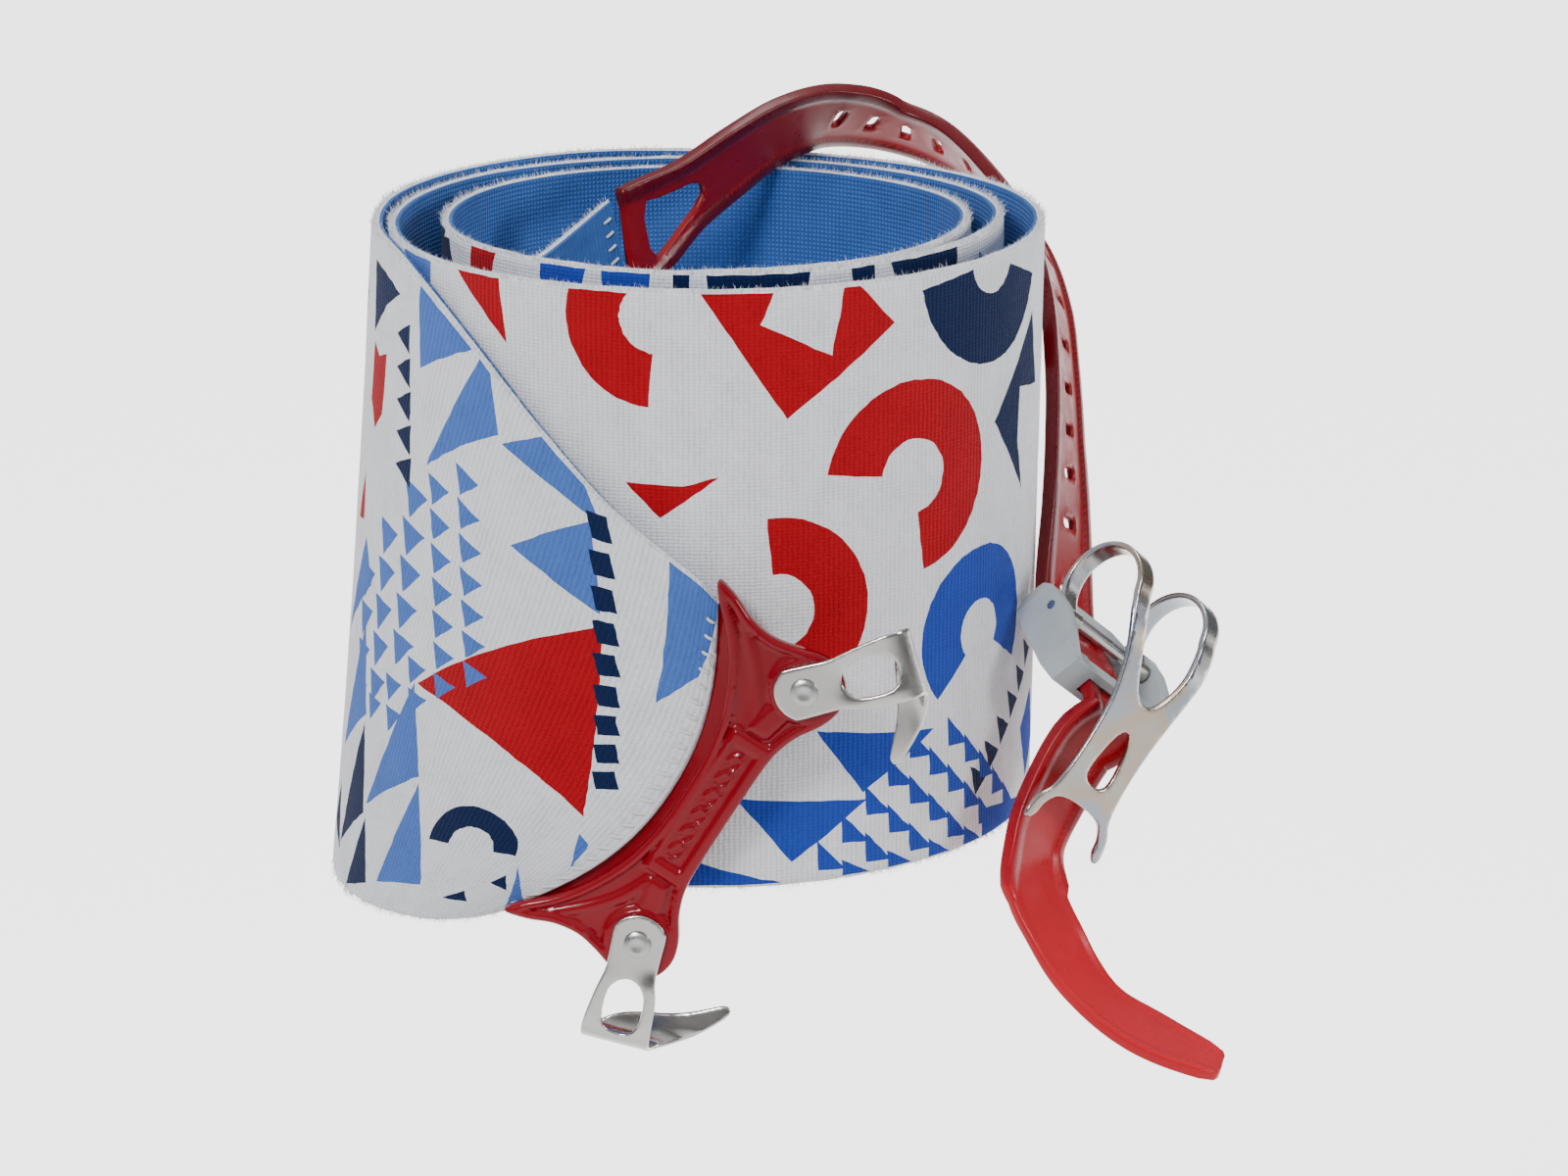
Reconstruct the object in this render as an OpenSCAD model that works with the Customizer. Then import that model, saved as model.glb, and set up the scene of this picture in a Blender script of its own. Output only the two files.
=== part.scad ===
// Rolled climbing skin for touring skis, with its tip bridge, two tip hooks,
// tail strap, slider and tail hook. Millimetres, +Z up. The roll's axis is Z and
// z = 0 is the lower edge of its inner wraps.

/* [Skin] */
// Width of the strip, which is the height of the roll
skin_w = 120; // [118:1:122]
// Thickness of the woven backing with its glue
backing_t = 0.7; // [0.5:0.1:0.8]
// Thickness of the pile
pile_t = 1.6; // [1.2:0.1:1.7]

/* [Tip bridge] */
// Thickness of the moulded bridge
bridge_t = 3.0; // [2.4:0.1:3.2]
// Distance from the bridge's middle to each rivet
rivet_reach = 31; // [30:0.5:32]
// Radius of a rivet's shank
rivet_r = 1.9; // [1.5:0.1:2.0]

/* [Tip hooks] */
// Thickness of the sheet of the tip hooks
tip_sheet_t = 1.0; // [0.8:0.1:1.2]
// Width across the legs of a tip hook
tip_hook_w = 12.8; // [12:0.2:13.4]
// Radius of the bend at the end of a tip hook
tip_bend_r = 4.5; // [4:0.1:5]

/* [Tail strap] */
// Width of the tail strap
strap_w = 18; // [17:0.5:18]
// Thickness of the strap between its rails
strap_web_t = 1.6; // [1.2:0.1:2]
// Thickness of the strap at its rails
strap_rail_t = 3.0; // [2.6:0.1:3.2]
// Number of notches in the strap
notch_count = 15; // [8:1:16]

/* [Slider] */
// Distance from the pin to the slider's lower end
slider_end = 14; // [13:0.5:14]
// Width across the slider's rails
slider_w = 37; // [36:0.5:38]
// Radius of the pin that the tail hook turns on
pin_r = 1.0; // [0.8:0.1:1.2]
// Height of the pin above the middle of the strap
pin_lift = 4.4; // [4.4:0.1:5]

/* [Tail hook] */
// Thickness of the sheet of the tail hook
tail_sheet_t = 1.2; // [1:0.1:1.4]
// Width across the feet of the tail hook
feet_w = 25; // [24:0.5:26]

/* [Hidden] */
$fn = 48;
gap = 0.06;              // running clearance of a riveted or pinned joint
fit_gap = 0.02;          // clearance of parts that don't move on each other
skin_t = backing_t + pile_t;

pile_color = [0.93, 0.93, 0.95];
backing_color = [0.22, 0.42, 0.74];
tpu_color = [0.62, 0.06, 0.12];
steel_color = [0.78, 0.79, 0.80];
grey_color = [0.60, 0.64, 0.66];

// ---- Vectors, curves and frames ----

function unit(v) = v / norm(v);
function square_to(v, t) = unit(v - (v * t) * t);

// Catmull-Rom curve through evenly spaced rows; x runs from 0 to the last row's index
function blend4(a, b, c, d, u) =
    0.5 * (2 * b + (c - a) * u + (2 * a - 5 * b + 4 * c - d) * u * u
           + (3 * b - a - 3 * c + d) * u * u * u);
function along(rows, x) =
    let (last = len(rows) - 1, i = max(0, min(floor(x), last - 1)), u = x - i)
    blend4(rows[max(i - 1, 0)], rows[i], rows[i + 1], rows[min(i + 2, last)], u);

// Puts children, drawn in their own x, y, z, at origin o with x and z along the given directions
module placed(o, x_dir, z_dir) {
    z = unit(z_dir);
    x = square_to(x_dir, z);
    y = cross(z, x);
    multmatrix([[x[0], y[0], z[0], o[0]], [x[1], y[1], z[1], o[1]], [x[2], y[2], z[2], o[2]],
                [0, 0, 0, 1]]) children();
}

// Closed tube through rings of the same number of points
module skinned(rings) {
    n = len(rings[0]);
    m = len(rings);
    polyhedron(
        points = [for (ring = rings) for (p = ring) p],
        faces = concat(
            [[for (k = [0:n - 1]) k]],
            [for (i = [0:m - 2]) for (k = [0:n - 1]) let (a = i * n + k, b = i * n + (k + 1) % n)
                each k < n / 2 ? [[a, a + n, b], [b, a + n, b + n]]
                               : [[a, a + n, b + n], [a, b + n, b]]],
            [[for (k = [n - 1:-1:0]) (m - 1) * n + k]]),
        convexity = 12);
}

// ---- The rolled strip ----

// Rows of the loose outer end: angle, height and radius of the upper edge, radius half way
// down, then angle, height and radius of the lower edge
TONGUE = [
    [272, 60, 74.8, 74.0, 240.8, -4.2, 78.6],
    [268, 65, 74.2, 73.6, 235, -7, 79.4],
    [256, 77, 73.0, 74.2, 226, -10, 79.8],
    [243, 92, 71.4, 74.6, 215, -12, 79.4],
    [230, 106, 70.2, 74.2, 204, -13.5, 78.8],
    [216, 116, 69.0, 73.2, 194, -14, 78.2],
    [202, 120, 67.8, 72.2, 184, -14, 77.4],
    [180, 120, 67.2, 71.4, 171, -13, 76.4],
    [157, 120, 69.4, 72.2, 152, -9, 75.8],
    [135, 120, 71.4, 73.2, 132, -4, 75.0],
    [112, 120, 72.2, 73.0, 111, -1, 73.8],
    [90, 119.2, 72.0, 72.4, 90, 0, 72.8]];

// Radii of the inner wraps, every 45 degrees from the back of the roll through its right side
WRAP_RADII = [70.4, 67.0, 67.2, 68.0, 66.6, 63.8, 65.2, 67.4,
              64.4, 58.4, 53.6, 51.4, 51.4, 53.2, 57.6, 62.0,
              58.6, 51.6, 47.4, 45.6];

// How far the outer wrap leans in on its right side, half way down
TAPER = [0.5, 1.1, 0.7, 0];

// How far each row's rim lies below the top of the roll; it dips where the strap crosses
RIM_DROP = [0.8, 0, 0, 0, 0, 0, 0.3, 1.4, 1.2, 0, 0, 0, 0, 0.6, 1, 2.2, 2, 1, 1, 1];

// The inner end, which lifts and narrows to meet the strap
INNER_END = [
    [-822, 117, 45.0, 45.0, -822, 4, 45.0],
    [-850, 113, 44.4, 44.2, -850, 14, 44.0],
    [-878, 109, 43.2, 42.8, -878, 32, 42.4],
    [-904, 107, 41.4, 40.8, -904, 54, 40.0],
    [-928, 109, 38.2, 36.8, -928, 74, 35.6],
    [-950, 118, 33.0, 30.0, -954, 91, 27.2]];

strip_rows = concat(
    TONGUE,
    [for (k = [0:len(WRAP_RADII) - 1]) let (a = 45 - 45 * k, r = WRAP_RADII[k], t = TAPER[min(k, 3)])
        [a, skin_w - RIM_DROP[k], r, r - t, a, k > 18 ? 1 : 0, r - 1.8 * t]],
    INNER_END);
strip_steps = 4;         // stations between two rows
strip_bands = 4;         // bands across the width

// Outline of the nose: how far it stands out at height share v from its lower to upper end
nose_bulge = 5.5;
nose_point = 5.8;        // how much farther the middle of the nose stands out
function nose_push(v) = nose_bulge * (1 - pow(abs(2 * v - 1), 3))
    + nose_point * pow(max(0, 1 - pow(2 * v - 1, 2)), 1.6);

// Point of the strip at row x, share v of its width, and offset d outward from its middle
function strip_point(x, v, d) =
    let (row = along(strip_rows, x),
         lift = nose_push(v) * max(0, 1 - x / 3),
         a = row[4] + (row[0] - row[4]) * v + lift * 0.75,
         z = row[5] + (row[1] - row[5]) * v - lift * 0.55,
         r = row[6] * (1 - v) * (1 - 2 * v) + row[3] * 4 * v * (1 - v) + row[2] * v * (2 * v - 1))
    [(r + d) * cos(a), (r + d) * sin(a), z];

module strip_layer(d_in, d_out) {
    last = (len(strip_rows) - 1) * strip_steps;
    skinned([for (i = [0:last]) let (x = i / strip_steps) concat(
        [for (j = [0:strip_bands]) strip_point(x, j / strip_bands, d_out)],
        [for (j = [strip_bands:-1:0]) strip_point(x, j / strip_bands, d_in)])]);
}

module skin_plush() {
    color(pile_color) strip_layer(-skin_t / 2 + backing_t, skin_t / 2);
}

module skin_backing() {
    color(backing_color) strip_layer(-skin_t / 2, -skin_t / 2 + backing_t - fit_gap);
}

// ---- The tip bridge, flat in its own frame: x along the bar, y towards the hooks ----

bridge_azimuth = 264;
bridge_lean = 32;
bridge_out = 73.4;       // distance of the bridge's inner face from the roll's axis
bridge_shift = -5.2;
bridge_z = 27;
bridge_out_dir = [cos(bridge_azimuth), sin(bridge_azimuth), 0];
bridge_side = [-sin(bridge_azimuth), cos(bridge_azimuth), 0];
bridge_x = -sin(bridge_lean) * bridge_side - cos(bridge_lean) * [0, 0, 1];
bridge_o = bridge_out * bridge_out_dir + bridge_shift * bridge_side + [0, 0, bridge_z];
rivet_y = 19;            // rivet's distance from the nose line
lug_r = 7.6;

// Half of the bridge's outline, from the middle of the nose side round to the middle of the
// hook side
BRIDGE_HALF = [
    [0, 10.2], [8, 10.0], [16, 8.6], [22, 6.4], [28, 3.2], [33, -0.6], [37, -4.6],
    [40.4, -6.6], [39.6, -2.4], [37.0, 3.0], [35.8, 8.0], [36.4, 13.0]];
BAR_EDGE = [[24.4, 22.6], [19.0, 21.4], [12, 20.8], [0, 20.6]];

bridge_right = concat(BRIDGE_HALF, [[rivet_reach + 4, rivet_y - 2]], BAR_EDGE);

module bridge_frame() {
    placed(bridge_o, bridge_x, bridge_out_dir) children();
}

module tip_bridge() {
    color(tpu_color) bridge_frame() difference() {
        linear_extrude(bridge_t) union() {
            polygon(concat(bridge_right, [for (k = [len(bridge_right) - 2:-1:1])
                [-bridge_right[k][0], bridge_right[k][1]]]));
            for (s = [-1, 1]) translate([s * rivet_reach, rivet_y]) circle(lug_r);
        }
        // shallow panel in the bar
        translate([-12.5, 12.6, bridge_t - 0.6]) cube([25, 5.6, 1]);
        // seats that the hooks turn in
        for (s = [-1, 1]) translate([s * rivet_reach, rivet_y, 0]) {
            translate([0, 0, -1]) cylinder(r = rivet_r + fit_gap, h = bridge_t + 2);
            translate([0, 0, -1]) cylinder(r = 4.1, h = 1.9);
        }
    }
}

// ---- Rivets and washers ----

washer_t = 0.8;
head_r = 2.6;
head_h = 0.9;

module at_rivet(s) {
    bridge_frame() translate([s * rivet_reach, rivet_y, 0]) children();
}

module rivet(s) {
    color(steel_color) at_rivet(s) {
        translate([0, 0, -0.05]) cylinder(r = rivet_r, h = bridge_t + tip_sheet_t + 0.35);
        translate([0, 0, bridge_t + tip_sheet_t + 0.2]) rotate_extrude()
            polygon([[0, 0], [head_r, 0], [head_r, 0.3], [head_r - 0.5, head_h * 0.8],
                     [head_r - 1.2, head_h], [0, head_h]]);
    }
}

module washer(s) {
    color(steel_color) at_rivet(s) translate([0, 0, 0.05]) difference() {
        cylinder(r = 3.9, h = washer_t);
        translate([0, 0, -1]) cylinder(r = rivet_r + fit_gap, h = 3);
    }
}

module upper_rivet() { rivet(-1); }
module lower_rivet() { rivet(1); }
module upper_washer() { washer(-1); }
module lower_washer() { washer(1); }

// ---- Tip hooks: x from the rivet outward, y towards the claw's skew, z out of the bridge ----

eye_r = 6.0;
leg_end = 18;            // where the legs meet the bend
bend_sweep = 165;        // angle that the sheet turns through in the bend
claw_reach = 20.8;       // how far the claw stands to one side
upper_hook_turn = 42;    // directions of the hooks at rest, from the bridge's own axis
lower_hook_turn = 19;

// Side line of a tip hook in x, z: the plate, then the bend
bend_r = tip_bend_r - tip_sheet_t / 2;
bend_line = concat(
    [[-eye_r - 1, tip_sheet_t / 2], [leg_end, tip_sheet_t / 2]],
    [for (k = [1:8]) let (a = 90 - bend_sweep * k / 8)
        [leg_end, tip_sheet_t / 2 - bend_r] + bend_r * [cos(a), sin(a)]]);
function line_side(line, k, d) =
    let (a = line[max(k - 1, 0)], b = line[min(k + 1, len(line) - 1)], t = unit(b - a))
    line[k] + d * [-t[1], t[0]];
function sheet_section(line, t) = concat(
    [for (k = [0:len(line) - 1]) line_side(line, k, t / 2)],
    [for (k = [len(line) - 1:-1:0]) line_side(line, k, -t / 2)]);
claw_from = bend_line[len(bend_line) - 1];

module tip_hook() {
    half = tip_hook_w / 2;
    difference() {
        intersection() {
            translate([0, half + 1, 0]) rotate([90, 0, 0]) linear_extrude(tip_hook_w + 2)
                polygon(sheet_section(bend_line, tip_sheet_t));
            translate([0, 0, -20]) linear_extrude(40) union() {
                circle(r = eye_r);
                polygon([[0, 0.8 - eye_r], [leg_end - 8, -half], [leg_end + 8, -half],
                         [leg_end + 8, half], [leg_end - 8, half], [0, eye_r - 0.8]]);
            }
        }
        translate([0, 0, -1]) cylinder(r = rivet_r + gap, h = 4);
        translate([0, 0, -1]) linear_extrude(4)
            polygon([[8.4, -1.6], [10.2, -3.6], [leg_end - 2.4, -3.6], [leg_end - 1, -2],
                     [leg_end - 1, 2], [leg_end - 2.4, 3.6], [10.2, 3.6], [8.4, 1.6]]);
    }
    // the claw, narrowing to a point that stands to one side
    translate([claw_from[0], 0, claw_from[1]]) rotate([0, bend_sweep, 0])
        translate([0, 0, -tip_sheet_t / 2]) linear_extrude(tip_sheet_t)
            polygon([[-0.4, 1.2 - half], [1.6, -1], [4.2, 6.5], [7.2, claw_reach - 6.3],
                     [8, claw_reach - 1.8], [6.8, claw_reach], [5.2, claw_reach - 0.2],
                     [1.8, claw_reach - 5.3], [-0.2, 10], [-0.4, half - 0.2]]);
}

module hook_seat(s, turn) {
    at_rivet(s) translate([0, 0, bridge_t + 0.1]) rotate([0, 0, s > 0 ? turn : 180 - turn])
        mirror([0, s > 0 ? 0 : 1, 0]) children();
}

module upper_tip_hook() { color(steel_color) hook_seat(-1, upper_hook_turn) tip_hook(); }
module lower_tip_hook() { color(steel_color) hook_seat(1, lower_hook_turn) tip_hook(); }

// ---- Stitching: short threads laid over a seam ----

thread_r = 0.28;

module stitch(a, b) {
    placed(a, [1, 0.2, 0.1], b - a) cylinder(r = thread_r, h = norm(b - a), $fn = 8);
}

module nose_stitching() {
    color([0.95, 0.95, 0.95]) for (k = [2:22]) let (v = k / 24)
        stitch(strip_point(0.12, v, skin_t / 2 + 0.5), strip_point(0.42, v, skin_t / 2 + 0.5));
}

// ---- The tail strap ----

// Middle of the slider's seat on the strap, and the strap's directions there
seat_o = [76.6, -20.4, 33.2];
seat_down = unit([0.295, -0.842, -0.453]);
seat_across = square_to([0.595, 0.540, -0.595], seat_down);
seat_out = cross(seat_down, seat_across);

// Rows of the strap's route: point, direction across it, half width
STRAP_ROUTE = [
    [-17.7, 25.2, 108.4, 0.10, 0.06, -0.99, 12.4],
    [-11.0, 31.4, 112.4, 0.16, 0.22, -0.96, 10.8],
    [-4.0, 38.0, 117.0, 0.16, 0.40, -0.90, 9.0],
    [4.5, 46.0, 122.0, 0.16, 0.54, -0.82, 9.0],
    [14.5, 55.5, 126.8, 0.12, 0.66, -0.74, 9.0],
    [26.0, 66.0, 127.8, 0.08, 0.72, -0.69, 9.0],
    [38.0, 72.5, 124.6, 0.08, 0.72, -0.69, 9.0],
    [49.5, 68.0, 121.0, 0.14, 0.70, -0.70, 9.0],
    [59.5, 54.0, 115.6, 0.22, 0.76, -0.61, 9.0],
    [67.4, 38.6, 108.0, 0.24, 0.84, -0.49, 9.0],
    [71.4, 24.4, 97.5, 0.28, 0.88, -0.38, 9.0],
    [72.8, 14.6, 84.6, 0.31, 0.89, -0.33, 9.0],
    [73.2, 8.6, 71.6, 0.37, 0.84, -0.40, 9.0],
    [73.3, 2.4, 57.4, 0.47, 0.71, -0.52, 9.0]];
STRAP_END = [
    [75.2, -38.9, 20.0, 0.56, 0.52, -0.64, 9.0],
    [69.8, -42.0, 11.4, 0.56, 0.56, -0.60, 9.0],
    [65.6, -45.5, 1.8, 0.52, 0.60, -0.60, 9.0],
    [65.7, -50.2, -7.4, 0.75, 0.62, -0.21, 9.0],
    [69.4, -55.5, -14.6, 0.68, 0.73, -0.05, 9.0],
    [74.0, -59.0, -21.8, 0.50, 0.86, 0.03, 9.4],
    [80.6, -61.5, -28.4, 0.30, 0.95, 0.06, 9.4],
    [90.4, -63.5, -33.8, 0.21, 0.97, 0.07, 9.4],
    [102.4, -65.5, -38.8, 0.16, 0.98, 0.02, 7.4]];
strap_rows = concat(
    STRAP_ROUTE,
    [for (t = [-13, -2, 10, 16.4]) concat(seat_o + t * seat_down, seat_across, [9])],
    [concat(seat_o + 19 * seat_down - 2.2 * seat_out, seat_across, [9])],
    STRAP_END);
strap_last = len(strap_rows) - 1;
strap_steps = 4;

function first3(v) = [v[0], v[1], v[2]];
function strap_mid(x) = first3(along(strap_rows, x));
function strap_dir(x) = unit(strap_mid(min(x + 0.05, strap_last)) - strap_mid(max(x - 0.05, 0)));
function strap_across(x) =
    let (v = along(strap_rows, x), raw = unit([v[3], v[4], v[5]]), k = min(1, x / 3))
    unit(raw * (1 - k) + square_to(raw, strap_dir(x)) * k);
function strap_out(x) = unit(cross(strap_dir(x), strap_across(x)));

// Section of the strap with its raised rails; the tab past the last notch is plain
tab_from = strap_last - 5;
function strap_ring(x) =
    let (half = along(strap_rows, x)[6] * strap_w / 18, rail = 2.2,
         web = strap_web_t / 2,
         top = x < tab_from ? strap_rail_t / 2 : max(web, strap_rail_t / 2 - (x - tab_from) * 0.4),
         m = strap_mid(x), w = strap_across(x), n = strap_out(x))
    [for (q = [[-half, -top], [-half + rail, -top], [-half + rail + 0.8, -web],
               [half - rail - 0.8, -web], [half - rail, -top], [half, -top], [half, top],
               [half - rail, top], [half - rail - 0.8, web], [-half + rail + 0.8, web],
               [-half + rail, top], [-half, top]])
        m + q[0] * w + q[1] * n];

// A cutter that stands through the strap at x
module through_strap(x) {
    placed(strap_mid(x), strap_across(x), strap_out(x)) children();
}

first_notch = 5.05;
notch_pitch = 0.62;

module tail_strap() {
    color(tpu_color) difference() {
        skinned([for (i = [0:strap_last * strap_steps]) strap_ring(i / strap_steps)]);
        for (k = [0:notch_count - 1]) through_strap(first_notch + notch_pitch * k)
            cube([5.4, 3.2, 8], center = true);
        // the window between the fork's arms
        through_strap(1.45) linear_extrude(12, center = true)
            polygon([[-6.6, 8.4], [7.4, 8.4], [3.2, -9], [-2.4, -9]]);
    }
}

module tail_stitching() {
    last = len(strip_rows) - 1;
    color([0.90, 0.90, 0.92]) for (k = [1:7]) let (v = k / 8)
        stitch(strip_point(last - 0.16, v, -skin_t / 2 - 0.45),
               strip_point(last - 0.02, v, -skin_t / 2 - 0.45));
}

// ---- Slider, pin and tail hook: x across the strap, y down it, z outward ----

rail_w = 3.6;
arm_in = 9.6;            // inner edge of the hook's arms
arm_out = 14.2;          // outer edge of the hook's arms
channel_half = strap_w / 2 + 0.35;

module seat_frame() {
    placed(seat_o, seat_across, seat_out) children();
}

module slider_plan() {
    half = slider_w / 2;
    polygon([[-11.6, -11.8], [11.6, -11.8], [half - 4, -10], [half, -4.5], [half, slider_end - 3],
             [half - 2.5, slider_end], [2.5 - half, slider_end], [-half, slider_end - 3],
             [-half, -4.5], [4 - half, -10]]);
}

module slider() {
    half = slider_w / 2;
    color(grey_color) seat_frame() mirror([0, 1, 0]) difference() {
        intersection() {
            translate([0, 0, -10]) linear_extrude(30) slider_plan();
            union() {
                // rails
                for (s = [-1, 1]) translate([s * (half - rail_w / 2 - 0.05), 0, 0]) rotate([0, 90, 0])
                    linear_extrude(rail_w + 0.1, center = true)
                        polygon([[1.6, -12], [2.6, -5], [3.2, 2], [3.2, slider_end - 2], [-1, slider_end],
                                 [-4.0, slider_end - 0.6], [-6.4, 5], [-7.0, 1], [-6.6, -4], [-4.2, -9],
                                 [-2.2, -12]]);
                // blocks beside the strap, cross plates over it and a floor under it
                for (s = [0, 1]) mirror([s, 0, 0]) {
                    translate([channel_half + 0.5, -12, -1.6]) cube([half - channel_half, 4.6, 5]);
                    translate([channel_half, slider_end - 5, -3.2]) cube([half - channel_half, 5, 6.6]);
                }
                translate([-half, -12, 1.75]) cube([slider_w, 4.2, 1.7]);
                translate([-half, slider_end - 4, 1.75]) cube([slider_w, 4, 1.7]);
                translate([-channel_half - 0.1, -2, -3.2]) cube([2 * channel_half + 0.2, slider_end + 1, 1.4]);
                translate([-half, slider_end - 5, -3.2]) cube([slider_w, 5, 1.4]);
                translate([-half, -2, -3.2]) cube([slider_w, 4, 1.4]);
            }
        }
        translate([-half - 1, 0, pin_lift]) rotate([0, 90, 0])
            cylinder(r = pin_r + fit_gap, h = slider_w + 2);
    }
}

module hook_pin() {
    color(steel_color) seat_frame() translate([-slider_w / 2 + 0.2, 0, pin_lift])
        rotate([0, 90, 0]) cylinder(r = pin_r, h = slider_w - 0.4);
}

// Side outline of the tail hook about the pin: y down the strap, z outward
curl_r = 9.4;
curl_o = [0.4, 9.8];
function ring_point(a, r) = curl_o + r * [cos(a), sin(a)];
HOOK_BODY = [[9.6, 14.4], [15.2, 9.2], [20.4, 1.6], [25.2, -8.0], [29.8, -17.4], [34.6, -26.6]];
hook_line = concat(
    [for (a = [-100:-20:-180]) ring_point(a, curl_r)],
    [for (a = [160:-20:40]) ring_point(a, curl_r)],
    HOOK_BODY);
hook_section = sheet_section(hook_line, tail_sheet_t);

pin_eye_r = 2.0;

// Draws a solid whose side outline is given in y, z, from x = a to x = b
module side_extrude(a, b) {
    translate([a, 0, 0]) rotate([90, 0, 90]) linear_extrude(b - a) children();
}

module tail_hook_blank() {
    // the curled arms
    for (s = [0, 1]) mirror([s, 0, 0]) side_extrude(arm_in, arm_out) intersection() {
        polygon(hook_section);
        translate([-20, -3]) square([31, 40]);
    }
    // the plate that joins them, down to the feet
    side_extrude(-arm_out, arm_out) intersection() {
        polygon(hook_section);
        translate([10.9, -40]) square([44, 60]);
    }
}

// What is cut from the plate, seen square to it: x across, y down from the curl
module plate_cut() {
    for (s = [0, 1]) mirror([s, 0]) polygon([
        [30, -10], [14.2, -10], [14.2, 8], [11.8, 20], [9.0, 30], [8.2, 40], [8.4, 50], [9.6, 55],
        [feet_w / 2, 58.6], [feet_w / 2, 90], [30, 90]]);
    // the gap between the arms, the window and the bay between the feet
    polygon([[-arm_in, -10], [arm_in, -10], [arm_in, 10], [6.4, 22], [3.8, 29.4], [1.6, 31.4],
             [-1.6, 31.4], [-3.8, 29.4], [-6.4, 22], [-arm_in, 10]]);
    polygon([[-1.8, 39.4], [1.8, 39.4], [4.2, 50], [2.6, 52.4], [-2.6, 52.4], [-4.2, 50]]);
    polygon([[-9.6, 90], [-9.6, 65], [-8.4, 61], [-5.6, 58.4], [5.6, 58.4], [8.4, 61],
             [9.6, 65], [9.6, 90]]);
}

module tail_hook() {
    color(steel_color) seat_frame() mirror([0, 1, 0]) translate([0, 0, pin_lift]) {
        difference() {
            union() {
                difference() {
                    tail_hook_blank();
                    translate([0, 8, 24]) rotate([-62, 0, 0]) translate([0, 0, -60])
                        linear_extrude(80) translate([0, -8]) plate_cut();
                }
                for (s = [-1, 1]) translate([s > 0 ? arm_in : -arm_out, 0, 0]) rotate([0, 90, 0])
                    cylinder(r = pin_eye_r, h = arm_out - arm_in);
            }
            translate([-slider_w, 0, 0]) rotate([0, 90, 0])
                cylinder(r = pin_r + gap, h = 2 * slider_w);
        }
    }
}

skin_plush();
skin_backing();
nose_stitching();
tip_bridge();
upper_tip_hook();
lower_tip_hook();
upper_rivet();
lower_rivet();
upper_washer();
lower_washer();
tail_strap();
tail_stitching();
slider();
hook_pin();
tail_hook();
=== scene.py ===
"""Looks for the rolled climbing skin: printed pile strip, moulded bridge, tip hooks, tail strap,
slider and tail hook.
Lengths in the shape tables are millimetres, as in the part's source; meshes are made in metres."""

import math
import random

import bmesh
import bpy
import numpy as np
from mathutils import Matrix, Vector, geometry, noise


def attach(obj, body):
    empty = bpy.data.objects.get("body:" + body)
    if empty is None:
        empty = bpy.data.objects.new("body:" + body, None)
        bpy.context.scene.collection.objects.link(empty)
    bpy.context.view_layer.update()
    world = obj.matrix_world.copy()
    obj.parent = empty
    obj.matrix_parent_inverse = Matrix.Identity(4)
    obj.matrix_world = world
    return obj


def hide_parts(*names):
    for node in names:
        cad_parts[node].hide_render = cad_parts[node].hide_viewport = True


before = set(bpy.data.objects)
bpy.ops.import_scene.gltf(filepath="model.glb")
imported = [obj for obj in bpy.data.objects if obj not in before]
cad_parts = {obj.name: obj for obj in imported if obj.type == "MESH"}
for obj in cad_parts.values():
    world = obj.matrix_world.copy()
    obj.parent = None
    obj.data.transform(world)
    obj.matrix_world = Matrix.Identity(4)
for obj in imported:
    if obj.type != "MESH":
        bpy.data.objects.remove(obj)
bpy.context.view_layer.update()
MM = 0.001


# ---------------------------------------------------------------- vectors and curves


def vec(*v):
    return np.array(v, float)


def unit(v):
    return v / np.linalg.norm(v, axis=-1, keepdims=True)


def square_to(v, t):
    return unit(v - (v * t).sum(-1, keepdims=True) * t)


def along(rows, x):
    """Catmull-Rom curve through evenly spaced rows; x runs from 0 to the last row's index."""
    x = np.asarray(x, float)
    last = len(rows) - 1
    i = np.clip(np.floor(x).astype(int), 0, last - 1)
    u = (x - i)[..., None]
    a, b = rows[np.maximum(i - 1, 0)], rows[i]
    c, d = rows[i + 1], rows[np.minimum(i + 2, last)]
    return 0.5 * (2 * b + (c - a) * u + (2 * a - 5 * b + 4 * c - d) * u * u
                  + (3 * b - a - 3 * c + d) * u ** 3)


def smooth_step(a, b, x):
    t = np.clip((x - a) / (b - a), 0, 1)
    return t * t * (3 - 2 * t)


# ---------------------------------------------------------------- the rolled strip

SKIN_W, BACKING_T, PILE_T = 120.0, 0.7, 1.6
SKIN_T = BACKING_T + PILE_T
# rows of the strip: angle, height and radius of its upper edge, radius of its middle, then angle,
# height and radius of its lower edge
TONGUE = [
    [272, 60, 74.8, 74.0, 240.8, -4.2, 78.6], [268, 65, 74.2, 73.6, 235, -7, 79.4],
    [256, 77, 73.0, 74.2, 226, -10, 79.8], [243, 92, 71.4, 74.6, 215, -12, 79.4],
    [230, 106, 70.2, 74.2, 204, -13.5, 78.8], [216, 116, 69.0, 73.2, 194, -14, 78.2],
    [202, 120, 67.8, 72.2, 184, -14, 77.4], [180, 120, 67.2, 71.4, 171, -13, 76.4],
    [157, 120, 69.4, 72.2, 152, -9, 75.8], [135, 120, 71.4, 73.2, 132, -4, 75.0],
    [112, 120, 72.2, 73.0, 111, -1, 73.8], [90, 119.2, 72.0, 72.4, 90, 0, 72.8]]
WRAP_RADII = [70.4, 67.0, 67.2, 68.0, 66.6, 63.8, 65.2, 67.4, 64.4, 58.4, 53.6, 51.4, 51.4, 53.2,
              57.6, 62.0, 58.6, 51.6, 47.4, 45.6]
TAPER = [0.5, 1.1, 0.7, 0]
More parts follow.
